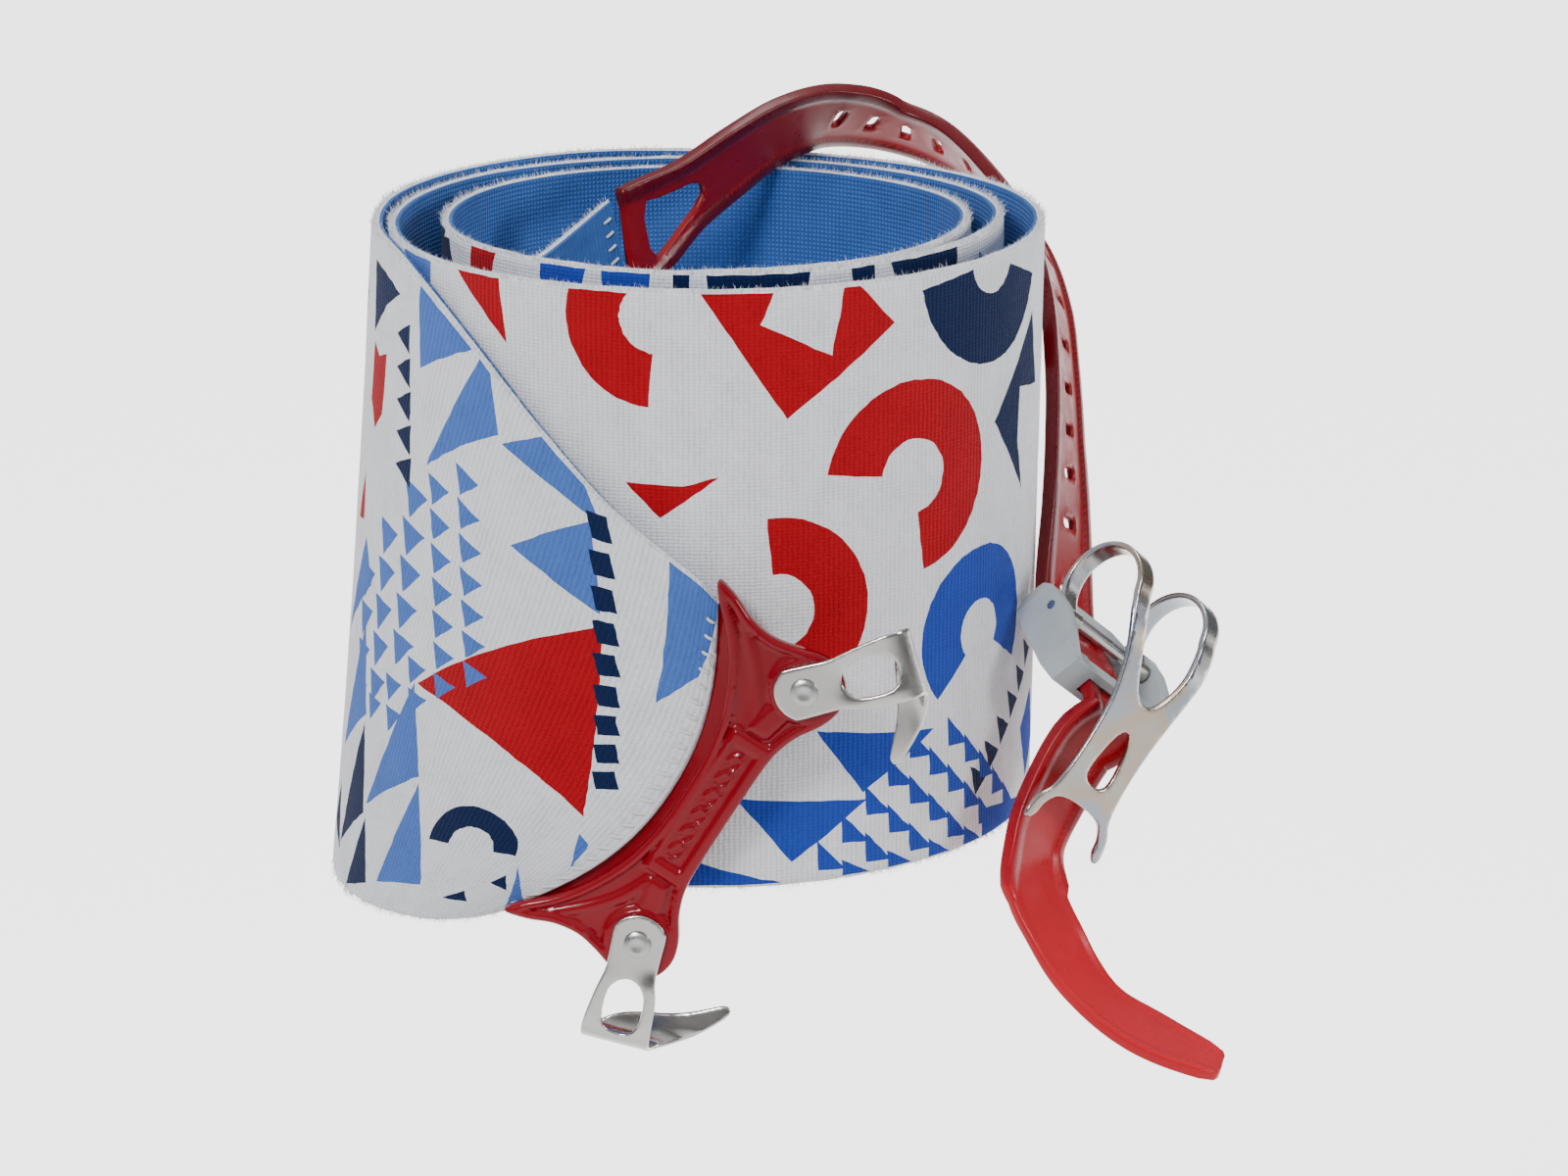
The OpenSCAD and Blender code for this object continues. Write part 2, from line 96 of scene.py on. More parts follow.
RIM_DROP = [0.8, 0, 0, 0, 0, 0, 0.3, 1.4, 1.2, 0, 0, 0, 0, 0.6, 1, 2.2, 2, 1, 1, 1]
INNER_END = [
    [-822, 117, 45.0, 45.0, -822, 4, 45.0], [-850, 113, 44.4, 44.2, -850, 14, 44.0],
    [-878, 109, 43.2, 42.8, -878, 32, 42.4], [-904, 107, 41.4, 40.8, -904, 54, 40.0],
    [-928, 109, 38.2, 36.8, -928, 74, 35.6], [-950, 118, 33.0, 30.0, -954, 91, 27.2]]
NOSE_BULGE, NOSE_POINT, NOSE_ROWS = 5.5, 5.8, 3


def wrap_row(k, r):
    angle, t = 45 - 45 * k, TAPER[min(k, 3)]
    return [angle, SKIN_W - RIM_DROP[k], r, r - t, angle, 1 if k > 18 else 0, r - 1.8 * t]


STRIP = np.array(TONGUE + [wrap_row(k, r) for k, r in enumerate(WRAP_RADII)] + INNER_END)


def nose_reach(v):
    return NOSE_POINT * np.maximum(0, 1 - (2 * v - 1) ** 2) ** 1.6


def strip_at_row(x, v, d, reach=1.0):
    """Point of the strip at row x, share v of its width, offset d outward from its middle."""
    x, v = np.broadcast_arrays(np.asarray(x, float), np.asarray(v, float))
    row = along(STRIP, x)
    lift = NOSE_BULGE * (1 - np.abs(2 * v - 1) ** 3) + reach * nose_reach(v)
    lift = lift * np.maximum(0, 1 - x / NOSE_ROWS)
    a = np.radians(row[..., 4] + (row[..., 0] - row[..., 4]) * v + lift * 0.75)
    z = row[..., 5] + (row[..., 1] - row[..., 5]) * v - lift * 0.55
    r = (row[..., 6] * (1 - v) * (1 - 2 * v) + row[..., 3] * 4 * v * (1 - v)
         + row[..., 2] * v * (2 * v - 1))
    return np.stack([(r + d) * np.cos(a), (r + d) * np.sin(a), z], -1)


row_samples = np.linspace(0, len(STRIP) - 1, 3001)
middle = strip_at_row(row_samples, 0.5, 0, 0)
row_lengths = np.concatenate([[0], np.cumsum(np.linalg.norm(np.diff(middle, axis=0), axis=1))])
STRIP_LEN = float(row_lengths[-1])


def strip_point(s, v, d):
    """The same, with s in mm along the strip from its nose."""
    return strip_at_row(np.interp(s, row_lengths, row_samples), v, d)


def pushed(p):
    """Moves points of the print back from the nose, by as much as the nose's middle stands out."""
    s = p[:, 0].copy()
    reach = 1.16 * nose_reach(p[:, 1] / SKIN_W)
    for _ in range(4):
        rows_in = np.interp(s, row_lengths, row_samples)
        s = p[:, 0] + reach * np.maximum(0, 1 - rows_in / NOSE_ROWS)
    return np.stack([s, p[:, 1]], 1)


# ---------------------------------------------------------------- flat regions and solids


def inside(points, outline):
    x, y = points[:, 0], points[:, 1]
    hit = np.zeros(len(points), bool)
    q = np.asarray(outline)
    for (x1, y1), (x2, y2) in zip(q, np.roll(q, -1, 0)):
        crossed = (y1 > y) != (y2 > y)
        with np.errstate(divide="ignore", invalid="ignore"):
            hit ^= crossed & (x < (x2 - x1) * (y - y1) / (y2 - y1) + x1)
    return hit


def densify(loop, step):
    out = []
    q = np.asarray(loop, float)
    for a, b in zip(q, np.roll(q, -1, 0)):
        n = max(1, int(math.ceil(np.linalg.norm(b - a) / step)))
        out += [a + (b - a) * i / n for i in range(n)]
    return np.array(out)


def rounded(loop, rounds=2):
    """Cuts a loop's corners off, Chaikin's way."""
    q = np.asarray(loop, float)
    for _ in range(rounds):
        b = np.roll(q, -1, 0)
        q = np.stack([q * 0.75 + b * 0.25, q * 0.25 + b * 0.75], 1).reshape(-1, 2)
    return q


def rounded_open(points):
    """Smooths an open run of points, keeping its ends."""
    rows = np.array(points, float)
    xs = np.linspace(0, len(rows) - 1, 4 * (len(rows) - 1) + 1)
    return [tuple(p) for p in along(rows, xs)]


def circle(r, x=0.0, y=0.0):
    return [(x + r * math.cos(a), y + r * math.sin(a)) for a in np.linspace(0, 2 * math.pi, 25)[:-1]]


def edge_distance(points, loops):
    best = np.full(len(points), 1e9)
    for loop in loops:
        for a, b in zip(loop, np.roll(loop, -1, 0)):
            ab = b - a
            t = np.clip(((points - a) @ ab) / max(ab @ ab, 1e-12), 0, 1)
            best = np.minimum(best, np.linalg.norm(points - a - t[:, None] * ab, axis=1))
    return best


def closed_run(first, count):
    """Edges that join count points, from the first, in a loop."""
    return [(first + i, first + (i + 1) % count) for i in range(count)]


def triangles(points, edges, gap):
    got = geometry.delaunay_2d_cdt([Vector(p) for p in points], edges, [], 0, gap)
    return np.array([tuple(q) for q in got[0]]), np.array([f for f in got[2] if len(f) == 3])


def doubled_area(p, tris):
    ab, ac = p[tris[:, 1]] - p[tris[:, 0]], p[tris[:, 2]] - p[tris[:, 0]]
    return ab[:, 0] * ac[:, 1] - ab[:, 1] * ac[:, 0]


def open_edges(tris):
    directed = set()
    for t in tris.tolist():
        for i in range(3):
            directed.add((t[i], t[(i + 1) % 3]))
    return sorted((a, b) for a, b in directed if (b, a) not in directed)


def region(outline, holes=(), step=1.0, edge=0.4, step_v=None):
    """Triangles over a flat shape, with rings of points just inside its edges for rounding.
    Returns points, triangles and each point's distance from the edge."""
    loops = [densify(outline, step)] + [densify(h, step) for h in holes]
    lo, hi = loops[0].min(0), loops[0].max(0)
    step_v = step_v or step
    gx, gy = np.meshgrid(np.arange(lo[0] + step / 3, hi[0], step),
                         np.arange(lo[1] + step_v / 3, hi[1], step_v))
    grid = np.stack([gx.ravel(), gy.ravel()], 1)

    def in_shape(p):
        ok = inside(p, loops[0])
        for h in loops[1:]:
            ok &= ~inside(p, h)
        return ok

    def kept(p, gap):
        p = p[in_shape(p)]
        return p[edge_distance(p, loops) > gap]

    rings = []
    for loop in loops:
        t = unit(np.roll(loop, -1, 0) - np.roll(loop, 1, 0))
        side = np.stack([-t[:, 1], t[:, 0]], 1)
        for share in (0.12, 0.4, 1.0):
            for sign in (-1, 1):
                rings.append((loop + sign * side * edge * share, edge * share * 0.93))
    extra = [kept(p, gap) for p, gap in rings] + [kept(grid, max(edge * 1.3, 0.35 * step))]
    points, edges = [], []
    for loop in loops:
        edges += closed_run(len(points), len(loop))
        points += list(loop)
    points += [p for e in extra for p in e]
    p, tris = triangles(points, edges, 1e-5)
    tris = tris[in_shape(p[tris].mean(1))]
    used = np.unique(tris)
    remap = np.full(len(p), -1)
    remap[used] = np.arange(len(used))
    p, tris = p[used], remap[tris]
    flip = doubled_area(p, tris) < 0
    tris[flip] = tris[flip][:, ::-1]
    return p, tris, edge_distance(p, loops)


def rounding(d, r):
    """How far a rounded edge of radius r lies below the flat, at distance d from the edge."""
    t = np.clip(1 - d / r, 0, 1)
    return r * (1 - np.sqrt(np.maximum(0, 1 - t * t)))


def add_object(name, verts_mm, faces, smooth=True, sharp=35):
    me = bpy.data.meshes.new(name)
    me.from_pydata((np.asarray(verts_mm) * MM).tolist(), [], [list(map(int, f)) for f in faces])
    me.validate()
    ob = bpy.data.objects.new(name, me)
    bpy.context.scene.collection.objects.link(ob)
    if smooth:
        me.polygons.foreach_set("use_smooth", [True] * len(me.polygons))
        me.set_sharp_from_angle(angle=math.radians(sharp))
    return ob


def add_uv(ob, flat):
    """Gives each corner its vertex's place on the flat shape, in metres."""
    uv = ob.data.uv_layers.new(name="UVMap")
    index = np.zeros(len(ob.data.loops), int)
    ob.data.loops.foreach_get("vertex_index", index)
    uv.data.foreach_set("uv", (flat[index] * MM).ravel())


def dress(ob, material, body, replaced=None):
    ob.data.materials.append(material)
    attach(ob, body)
    if replaced:
        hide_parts(replaced)


def solid(name, reg, place, top, bottom, sharp=35):
    """A closed plate over a flat region: place(u, v, n) gives points; top and bottom give n."""
    p, tris, d = reg
    n = len(p)
    up = place(p[:, 0], p[:, 1], top(p[:, 0], p[:, 1], d))
    down = place(p[:, 0], p[:, 1], bottom(p[:, 0], p[:, 1], d))
    faces = [list(t) for t in tris] + [[c + n for c in t[::-1]] for t in tris]
    faces += [[b, a, a + n, b + n] for a, b in open_edges(tris)]
    ob = add_object(name, np.concatenate([up, down]), faces, sharp=sharp)
    add_uv(ob, np.concatenate([p, p]))
    return ob


def lathe(name, profile, place, n=40):
    """Turns (radius, height) pairs about a local z axis."""
    rings = []
    for r, h in profile:
        a = np.arange(n) * 2 * math.pi / n
        rings.append(place(r * np.cos(a), r * np.sin(a), np.full(n, h)))
    verts = np.concatenate(rings)
    faces = [[i * n + k, i * n + (k + 1) % n, (i + 1) * n + (k + 1) % n, (i + 1) * n + k]
             for i in range(len(profile) - 1) for k in range(n)]
    faces += [list(range(n))[::-1], [(len(profile) - 1) * n + k for k in range(n)]]
    return add_object(name, verts, faces)


# ---------------------------------------------------------------- materials


class Nodes:
    """Short forms for making a material's nodes."""

    def __init__(self, name):
        self.mat = bpy.data.materials.new(name)
        self.mat.use_nodes = True
        self.tree = self.mat.node_tree
        self.shader = self.tree.nodes["Principled BSDF"]

    def add(self, kind, **values):
        node = self.tree.nodes.new(kind)
        for key, value in values.items():
            if key in node.inputs:
                node.inputs[key].default_value = value
            else:
                setattr(node, key, value)
        return node

    def link(self, a, b):
        self.tree.links.new(a, b)

    def set(self, **values):
        for key, value in values.items():
            self.shader.inputs[key.replace("_", " ")].default_value = value

    def coords(self, kind="Object", scale=(1, 1, 1)):
        mapping = self.add("ShaderNodeMapping")
        mapping.inputs["Scale"].default_value = scale
        self.link(self.add("ShaderNodeTexCoord").outputs[kind], mapping.inputs["Vector"])
        return mapping.outputs[0]

    def noise(self, where, scale, detail=3.0, rough=0.5):
        node = self.add("ShaderNodeTexNoise", Scale=scale, Detail=detail, Roughness=rough)
        self.link(where, node.inputs["Vector"])
        return node.outputs["Fac"]

    def wave(self, where, scale, axis="X", distort=0.0, detail_scale=1.0):
        node = self.add("ShaderNodeTexWave", Scale=scale, Distortion=distort)
        node.inputs["Detail Scale"].default_value = detail_scale
        node.bands_direction = axis
        self.link(where, node.inputs["Vector"])
        return node.outputs["Fac"]

    def math(self, op, a, b):
        node = self.add("ShaderNodeMath", operation=op)
        for k, value in enumerate((a, b)):
            if isinstance(value, (int, float)):
                node.inputs[k].default_value = value
            else:
                self.link(value, node.inputs[k])
        return node.outputs[0]

    def total(self, *terms):
        """Sum of outputs, each with a weight."""
        parts = [self.math("MULTIPLY", value, weight) for value, weight in terms]
        result = parts.pop()
        while parts:
            result = self.math("ADD", parts.pop(), result)
        return result

    def ramp(self, fac, stops):
        node = self.add("ShaderNodeValToRGB")
        e = node.color_ramp.elements
        while len(e) < len(stops):
            e.new(0.5)
        for item, (at, colour) in zip(e, stops):
            item.position = at
            item.color = (*colour, 1)
        self.link(fac, node.inputs["Fac"])
        return node.outputs["Color"]

    def bump(self, height, distance, strength=1.0):
        node = self.add("ShaderNodeBump", Strength=strength, Distance=distance)
        self.link(height, node.inputs["Height"])
        return node.outputs["Normal"]

    def finish(self, colour, normal, rough=None):
        for value, key in ((colour, "Base Color"), (normal, "Normal"), (rough, "Roughness")):
            if value is not None:
                self.link(value, self.shader.inputs[key])
        return self.mat


def shade(colour, k):
    return tuple(min(1.0, c * k) for c in colour)


def grey(value):
    return (value,) * 3


def pile(name, colour):
    """Short mohair pile, printed: faint ribs across the strip, and a nap that catches the light."""
    m = Nodes(name)
    uv = m.coords("UV")
    ribs = m.wave(uv, 300, "X", distort=1.6, detail_scale=1.2)
    cross = m.wave(uv, 440, "Y", distort=2.4, detail_scale=1.4)
    grain = m.noise(uv, 3200, detail=4.0, rough=0.65)
    patches = m.noise(m.coords("UV", (1, 0.6, 1)), 160, detail=4.0, rough=0.6)
    fibre = m.noise(m.coords("UV", (1, 0.28, 1)), 1500, detail=3.0, rough=0.6)
    weave = m.total((ribs, 0.6), (cross, 0.4))
    height = m.total((weave, 0.55), (grain, 0.6))
    tone = m.total((patches, 0.4), (fibre, 0.3), (weave, 0.32))
    col = m.ramp(tone, [(0.24, shade(colour, 0.72)), (0.5, colour), (0.78, shade(colour, 1.14))])
    m.set(Roughness=0.9, Sheen_Weight=0.06, Sheen_Roughness=0.5, Specular_IOR_Level=0.1)
    return m.finish(col, m.bump(height, 0.0004))


def woven(name, colour):
    """Plain-woven nylon: two crossing sets of threads."""
    m = Nodes(name)
    uv = m.coords("UV")
    warp = m.wave(uv, 330, "X", distort=0.5)
    weft = m.wave(uv, 330, "Y", distort=0.5)
    cloth = m.math("MULTIPLY", warp, weft)
    soft = m.noise(uv, 90, detail=3.0)
    tone = m.total((cloth, 0.75), (soft, 0.35))
    col = m.ramp(tone, [(0.1, shade(colour, 0.6)), (0.45, colour), (0.95, shade(colour, 1.5))])
    m.set(Roughness=0.7, Sheen_Weight=0.05, Specular_IOR_Level=0.25)
    return m.finish(col, m.bump(cloth, 0.0003))


def elastomer(name, deep, bright, low_z, high_z, rough):
    """Clear red elastomer: brighter low down, deeper higher up, with soft moulding marks."""
    m = Nodes(name)
    where = m.coords("Object")
    parts = m.add("ShaderNodeSeparateXYZ")
    m.link(where, parts.inputs[0])
    high = m.add("ShaderNodeMapRange")
    high.inputs["From Min"].default_value = low_z * MM
    high.inputs["From Max"].default_value = high_z * MM
    m.link(parts.outputs["Z"], high.inputs["Value"])
    cloud = m.noise(where, 70, detail=3.0)
    tone = m.total((high.outputs[0], 0.8), (cloud, 0.3))
    halfway = tuple((a + b) / 2 for a, b in zip(deep, bright))
    col = m.ramp(tone, [(0.1, bright), (0.5, halfway), (0.95, deep)])
    marks = m.noise(where, 900, detail=3.0)
    rough_map = m.ramp(m.noise(where, 240, detail=4.0), [(0.3, grey(rough * 0.8)), (0.75, grey(rough * 1.5))])
    m.set(IOR=1.48, Specular_IOR_Level=0.32, Subsurface_Weight=0.12, Subsurface_Scale=0.002,
          Subsurface_Radius=(1.0, 0.15, 0.1))
    return m.finish(col, m.bump(marks, 0.00003, 0.4), rough_map)


def steel(name, colour, rough, tint=0.0, stretch=(1, 1, 1)):
    """Tumbled stainless sheet: fine scratches, soft dents and, with tint, faint heat colours."""
    m = Nodes(name)
    where = m.coords("Object")
    lines = m.noise(m.coords("Object", stretch), 2600, detail=3.0, rough=0.7)
    cloud = m.noise(where, 110, detail=4.0)
    base = m.ramp(cloud, [(0.3, shade(colour, 0.9)), (0.6, colour), (0.8, shade(colour, 1.06))])
    if tint:
        straw, blue = (0.52, 0.38, 0.26), (0.34, 0.40, 0.50)
        hue = m.ramp(m.noise(where, 46, detail=2.0),
                     [(0.36, colour), (0.47, straw), (0.53, blue), (0.62, colour)])
        mix = m.add("ShaderNodeMix", data_type="RGBA")
        mix.inputs["Factor"].default_value = tint
        m.link(base, mix.inputs["A"])
        m.link(hue, mix.inputs["B"])
        base = mix.outputs["Result"]
    worn = m.total((lines, 0.5), (cloud, 0.5))
    rough_map = m.ramp(worn, [(0.35, grey(rough * 0.7)), (0.7, grey(rough * 1.7))])
    m.set(Metallic=1.0)
    return m.finish(base, m.bump(lines, 0.00003, 0.5), rough_map)


def plastic(name, colour, rough):
    """Moulded plastic with a fine grain."""
    m = Nodes(name)
    where = m.coords("Object")
    grain = m.noise(where, 2400, detail=3.0)
    cloud = m.noise(where, 120, detail=3.0)
    col = m.ramp(cloud, [(0.3, shade(colour, 0.92)), (0.7, shade(colour, 1.06))])
    rough_map = m.ramp(grain, [(0.3, grey(rough * 0.85)), (0.7, grey(rough * 1.15))])
    m.set(Specular_IOR_Level=0.5)
    return m.finish(col, m.bump(grain, 0.00004, 0.6), rough_map)


INK = {
    "white": (0.80, 0.81, 0.85), "red": (0.38, 0.0005, 0.008), "navy": (0.003, 0.012, 0.060),
    "blue": (0.018, 0.055, 0.38), "light_blue": (0.065, 0.155, 0.50)}
pile_mats = {k: pile("pile_" + k, c) for k, c in INK.items()}
backing_mat = woven("backing_weave", (0.045, 0.155, 0.50))
thread_mat = pile("thread", (0.78, 0.78, 0.80))
bridge_mat = elastomer("bridge_elastomer", (0.19, 0.002, 0.008), (0.27, 0.003, 0.011), -30, 70, 0.12)
rail_mat = elastomer("strap_rails", (0.12, 0.002, 0.006), (0.47, 0.004, 0.014), -20, 60, 0.28)
strap_mat = elastomer("strap_web", (0.26, 0.005, 0.008), (0.52, 0.005, 0.016), -20, 60, 0.30)
steel_mat = steel("tip_steel", (0.60, 0.59, 0.57), 0.15, stretch=(1, 1, 4))
tail_steel_mat = steel("tail_steel", (0.47, 0.45, 0.42), 0.18, tint=0.6, stretch=(3, 1, 1))
rivet_mat = steel("rivet_steel", (0.52, 0.54, 0.52), 0.28)
grey_mat = plastic("slider_plastic", (0.36, 0.40, 0.42), 0.45)


# ---------------------------------------------------------------- the print

# Each shape is (ink, points): s along the strip from the nose, v up from its lower edge, in mm.


def arc_band(centre, outer, inner, start, end):
    """A ring's sector, in degrees."""
    a = np.radians(np.linspace(start, end, 26))
    ring = np.stack([np.cos(a), np.sin(a)], 1)
    return np.concatenate([centre + ring * outer, centre + ring[::-1] * inner])


def triangle_field(origin, right, down, rows, size):
    """Rows of small triangles; rows gives each row's first and last column."""
    out = []
    o, right, down = vec(*origin), vec(*right), vec(*down)
    for i, (first, last) in enumerate(rows):
        for j in range(first, last + 1):
            c = o + down * i + right * j
            out.append([c, c + vec(size, -0.08 * size), c + vec(0.55 * size, -0.82 * size)])
    return out


def teeth(start, end, count, depth, width):
    """A row of small triangles along a line, pointing to one side."""
    a, b = vec(*start), vec(*end)
    t = unit(b - a)
    side = vec(-t[1], t[0])
    bases = [a + (b - a) * k / (count - 1) for k in range(count)]
    return [[c - t * width / 2, c + t * width / 2, c + side * depth] for c in bases]


def in_ink(ink, shapes):
    return [(ink, shape) for shape in shapes]


FLAP_PRINT = (
    [("light_blue", [(0, 120), (13, 120), (5.2, 83), (0, 96)]),
     ("light_blue", [(20.5, 96), (28, 114), (41, 94.5)]),
     ("light_blue", [(26, 115.5), (31, 120), (42, 120), (49, 110.5)]),
     ("light_blue", [(50, 111.5), (55, 120), (58, 120), (64.5, 92)]),
     ("light_blue", [(60, 120), (76, 120), (71.5, 106.5)]),
     ("navy", [(82, 114.5), (97, 116), (94, 103), (88, 110)]),
     ("red", [(85, 102), (89, 100), (93, 101.5), (91.5, 91), (87, 87), (83.5, 91)]),
     ("red", [(88, 69), (90.5, 78), (92.5, 68)]),
     ("red", [(19.5, 93.5), (52.5, 52.5), (40, 53), (30, 52.3), (20, 50.3), (12, 47.3), (5.5, 43.5)]),
     ("light_blue", [(53.5, 52), (44.5, 34), (61, 20.5)]),
     ("light_blue", [(44, 32.5), (32.5, 9.5), (48.5, 6)]),
     ("light_blue", [(77.5, 52.5), (69.5, 37), (84, 25)]),
     ("light_blue", [(84.5, 67), (77.5, 60), (92.5, 46)]),
     ("navy", [(69.5, 35.5), (61.5, 18.5), (75.5, 7.5)]),
     ("navy", [(60, 18), (53, 4.5), (64.5, 1.5)]),
     ("navy", [(83, 18.5), (75, 6), (86, 10)]),
     ("light_blue", [(11, 22.5), (0.6, 6), (3.2, 3)]),
     ("light_blue", [(4.2, 38), (0.4, 24), (0.8, 35)]),
     ("navy", [(12, 18.5), (8.5, 13), (14.2, 15)]),
     ("navy", [(19, 11), (15.8, 7), (24, 7.4)]),
     ("navy", arc_band(vec(24.5, 24.0), 11.4, 5.8, -12, 172))]
    + in_ink("light_blue", triangle_field((51, 99), (8.5, -1.4), (-2.4, -5.7),
                                          [(0, 0)] + 6 * [(0, 1)] + [(1, 2), (2, 3), (3, 4)], 6.4))
    + in_ink("light_blue", triangle_field((62, 86.5), (8.4, -4.8), (-1.4, -7.0),
                                          [(0, 0), (0, 1)] + 3 * [(0, 2)] + [(1, 2)], 8.0))
    + in_ink("navy", [[(77 - 1.9 * k, 111.5 - 5.4 * k), (75.6 - 1.9 * k, 106.4 - 5.4 * k),
                       (81.2 - 1.7 * k, 107.6 - 5.4 * k)] for k in range(5)])
    # a stepped border of short bars
    + in_ink("navy", [[(u + 2.55 * k, v + 7.3 * k)
                       for u, v in ((2.6, 55), (6.4, 52.6), (9.0, 57.0), (5.2, 59.6))] for k in range(9)]))

WRAP_PRINT = (
    [("red", arc_band(vec(393.5, 80), 19.5, 7.6, 8, 262)),
     ("red", arc_band(vec(423, 56), 19.0, 7.6, 84, 366)),
     ("red", [(398.5, 111.5), (406, 121), (409.5, 121), (412, 106.5), (426, 113.5), (423.5, 121),
              (437.5, 121), (421, 94.5)]),
     ("red", arc_band(vec(446, 115), 18.0, 7.2, -85, 40)),
     ("red", [(434, 83.5), (441, 81.6), (452, 82), (445.5, 75)]),
     ("red", [(477.5, 107), (479.5, 121), (491, 121)]),
     ("navy", arc_band(vec(371, 120), 21.0, 7.0, 200, 352)),
     ("navy", [(346, 89), (350.5, 105), (369.5, 86.5), (355, 69), (358.5, 80), (357.6, 91)]),
     ("blue", arc_band(vec(373.5, 44.5), 17.5, 6.4, -42, 212)),
     ("blue", [(387.5, 27.2), (400, 28.6), (415, 31), (405, 17)]),
     ("blue", [(404, 15.5), (431, 18.2), (420, 4.5)]),
     ("blue", [(422, 0), (441, 0), (438, 5)]),
     ("blue", [(350, -1), (354, 4), (372, 6.5), (371, -1)]),
     ("blue", [(336, 12), (342, 24), (352, 18), (346, 6)])]
    + in_ink("navy", teeth((346.5, 31.5), (372, 11.5), 6, 6.4, 5.4))
    + in_ink("blue", [[vec(414.5 - 5.2 * j - 5.3 * i, 2.2 + 5.0 * j - 4.7 * i) + c
                       for c in (vec(0, 0), vec(-6.0, -0.5), vec(0.4, 6.2))]
                      for i in range(6) for j in range(max(0, i - 1), 6 if i else 5)]))


def wrap_s(k):
    """Length along the strip at row k of the inner wraps; the rows are an eighth of a turn apart."""
    return float(np.interp(len(TONGUE) + k, row_samples, row_lengths))


# patches that show between the rims of the inner wraps
RIM_PRINT = [(ink, [(wrap_s(a), 121), (wrap_s(a + da), 98), (wrap_s(b - db), 98), (wrap_s(b), 121)])
             for ink, a, b, da, db in (
                 ("navy", 9.62, 10.07, 0.05, 0.12), ("navy", 10.16, 10.29, 0.03, 0.02),
                 ("navy", 10.50, 11.0, 0.10, 0.05), ("navy", 11.08, 11.16, 0.0, 0.03),
                 ("blue", 11.27, 11.52, 0.02, 0.10), ("blue", 11.60, 11.86, 0.10, 0.0),
                 ("red", 12.17, 12.40, 0.14, 0.02), ("navy", 12.8, 13.1, 0.1, 0.1),
                 ("blue", 18.2, 18.6, 0.1, 0.1), ("navy", 19.0, 19.3, 0.1, 0.0))]


def placed_print(shapes, shift, flip=False):
    """Shifts shapes along the strip, and turns them over if flip is true."""
    out = []
    for ink, points in shapes:
        p = np.array([tuple(q) for q in points], float)
        if flip:
            p[:, 1] = SKIN_W - p[:, 1]
            p = p[::-1]
        p[:, 0] += shift
        out.append((ink, p))
    return out


prints = []
for shapes, shift, flip in ((FLAP_PRINT, 0, False), (WRAP_PRINT, -232, True), (FLAP_PRINT, 238, False),
                            (WRAP_PRINT, 0, False), (FLAP_PRINT, 500, False), (WRAP_PRINT, 260, True),
                            (FLAP_PRINT, 760, True), (WRAP_PRINT, 520, False), (FLAP_PRINT, 1010, False),
                            (WRAP_PRINT, 775, True)):
    prints += placed_print(shapes, shift, flip)
prints += placed_print(RIM_PRINT, 0)


# ---------------------------------------------------------------- the skin's mesh


PRINT_GAP = 0.3       # between any printed shape and the strip's edges


def printed_plan():
    """The flat strip cut up along its print: points, triangles and each triangle's ink."""
    step_s, step_v = 3.1, 5.0
    ns, nv = int(STRIP_LEN / step_s), int(SKIN_W / step_v)
    ss, vs = np.linspace(0, STRIP_LEN, ns + 1), np.linspace(0, SKIN_W, nv + 1)
    # bands near the edges get closer rows, so that the pile rounds off there
    vs = np.unique(np.concatenate([vs, [0.5, 1.4, 2.6, SKIN_W - 2.6, SKIN_W - 1.4, SKIN_W - 0.5]]))
    ss = np.unique(np.concatenate([[0.5, 1.4, STRIP_LEN - 1.4, STRIP_LEN - 0.5], ss]))
    gs, gv = np.meshgrid(ss, vs)
    points = [Vector(p) for p in np.stack([gs.ravel(), gv.ravel()], 1)]
    cols = len(ss)
    rim = ([i for i in range(cols)] + [j * cols + cols - 1 for j in range(1, len(vs))]
           + [(len(vs) - 1) * cols + i for i in range(cols - 2, -1, -1)]
           + [j * cols for j in range(len(vs) - 2, 0, -1)])
    edges = list(zip(rim, rim[1:] + rim[:1]))
    low, high = vec(PRINT_GAP, PRINT_GAP), vec(STRIP_LEN - PRINT_GAP, SKIN_W - PRINT_GAP)
    drawn = []
    for ink, p in prints:
        if p[:, 0].max() < 1 or p[:, 0].min() > STRIP_LEN - 1:
            continue
        # a printed edge wanders a little with the pile
        q = densify(np.clip(p, low, high), 2.2)
        wander = np.array([[noise.noise(Vector((x * 0.9, y * 0.9, z))) for z in (0, 9)] for x, y in q])
        q = pushed(q) if q[:, 0].min() < 44 else q
        q = np.clip(q + wander * 0.28, low, high)
        edges += closed_run(len(points), len(q))
        points += [Vector(t) for t in q]
        drawn.append((ink, q))
    p, tris = triangles(points, edges, 1e-4)
    area = doubled_area(p, tris)
    tris, area = tris[np.abs(area) > 1e-7], area[np.abs(area) > 1e-7]
    tris[area > 0] = tris[area > 0][:, ::-1]      # the strip winds backwards, so outward faces are reversed
    c = p[tris].mean(1)
    inks = np.zeros(len(tris), int)
    for colour, q in drawn:
        near = np.where(((c >= q.min(0)) & (c <= q.max(0))).all(1))[0]
        if len(near):
            inks[near[inside(c[near], q)]] = list(INK).index(colour)
    return p, tris, inks


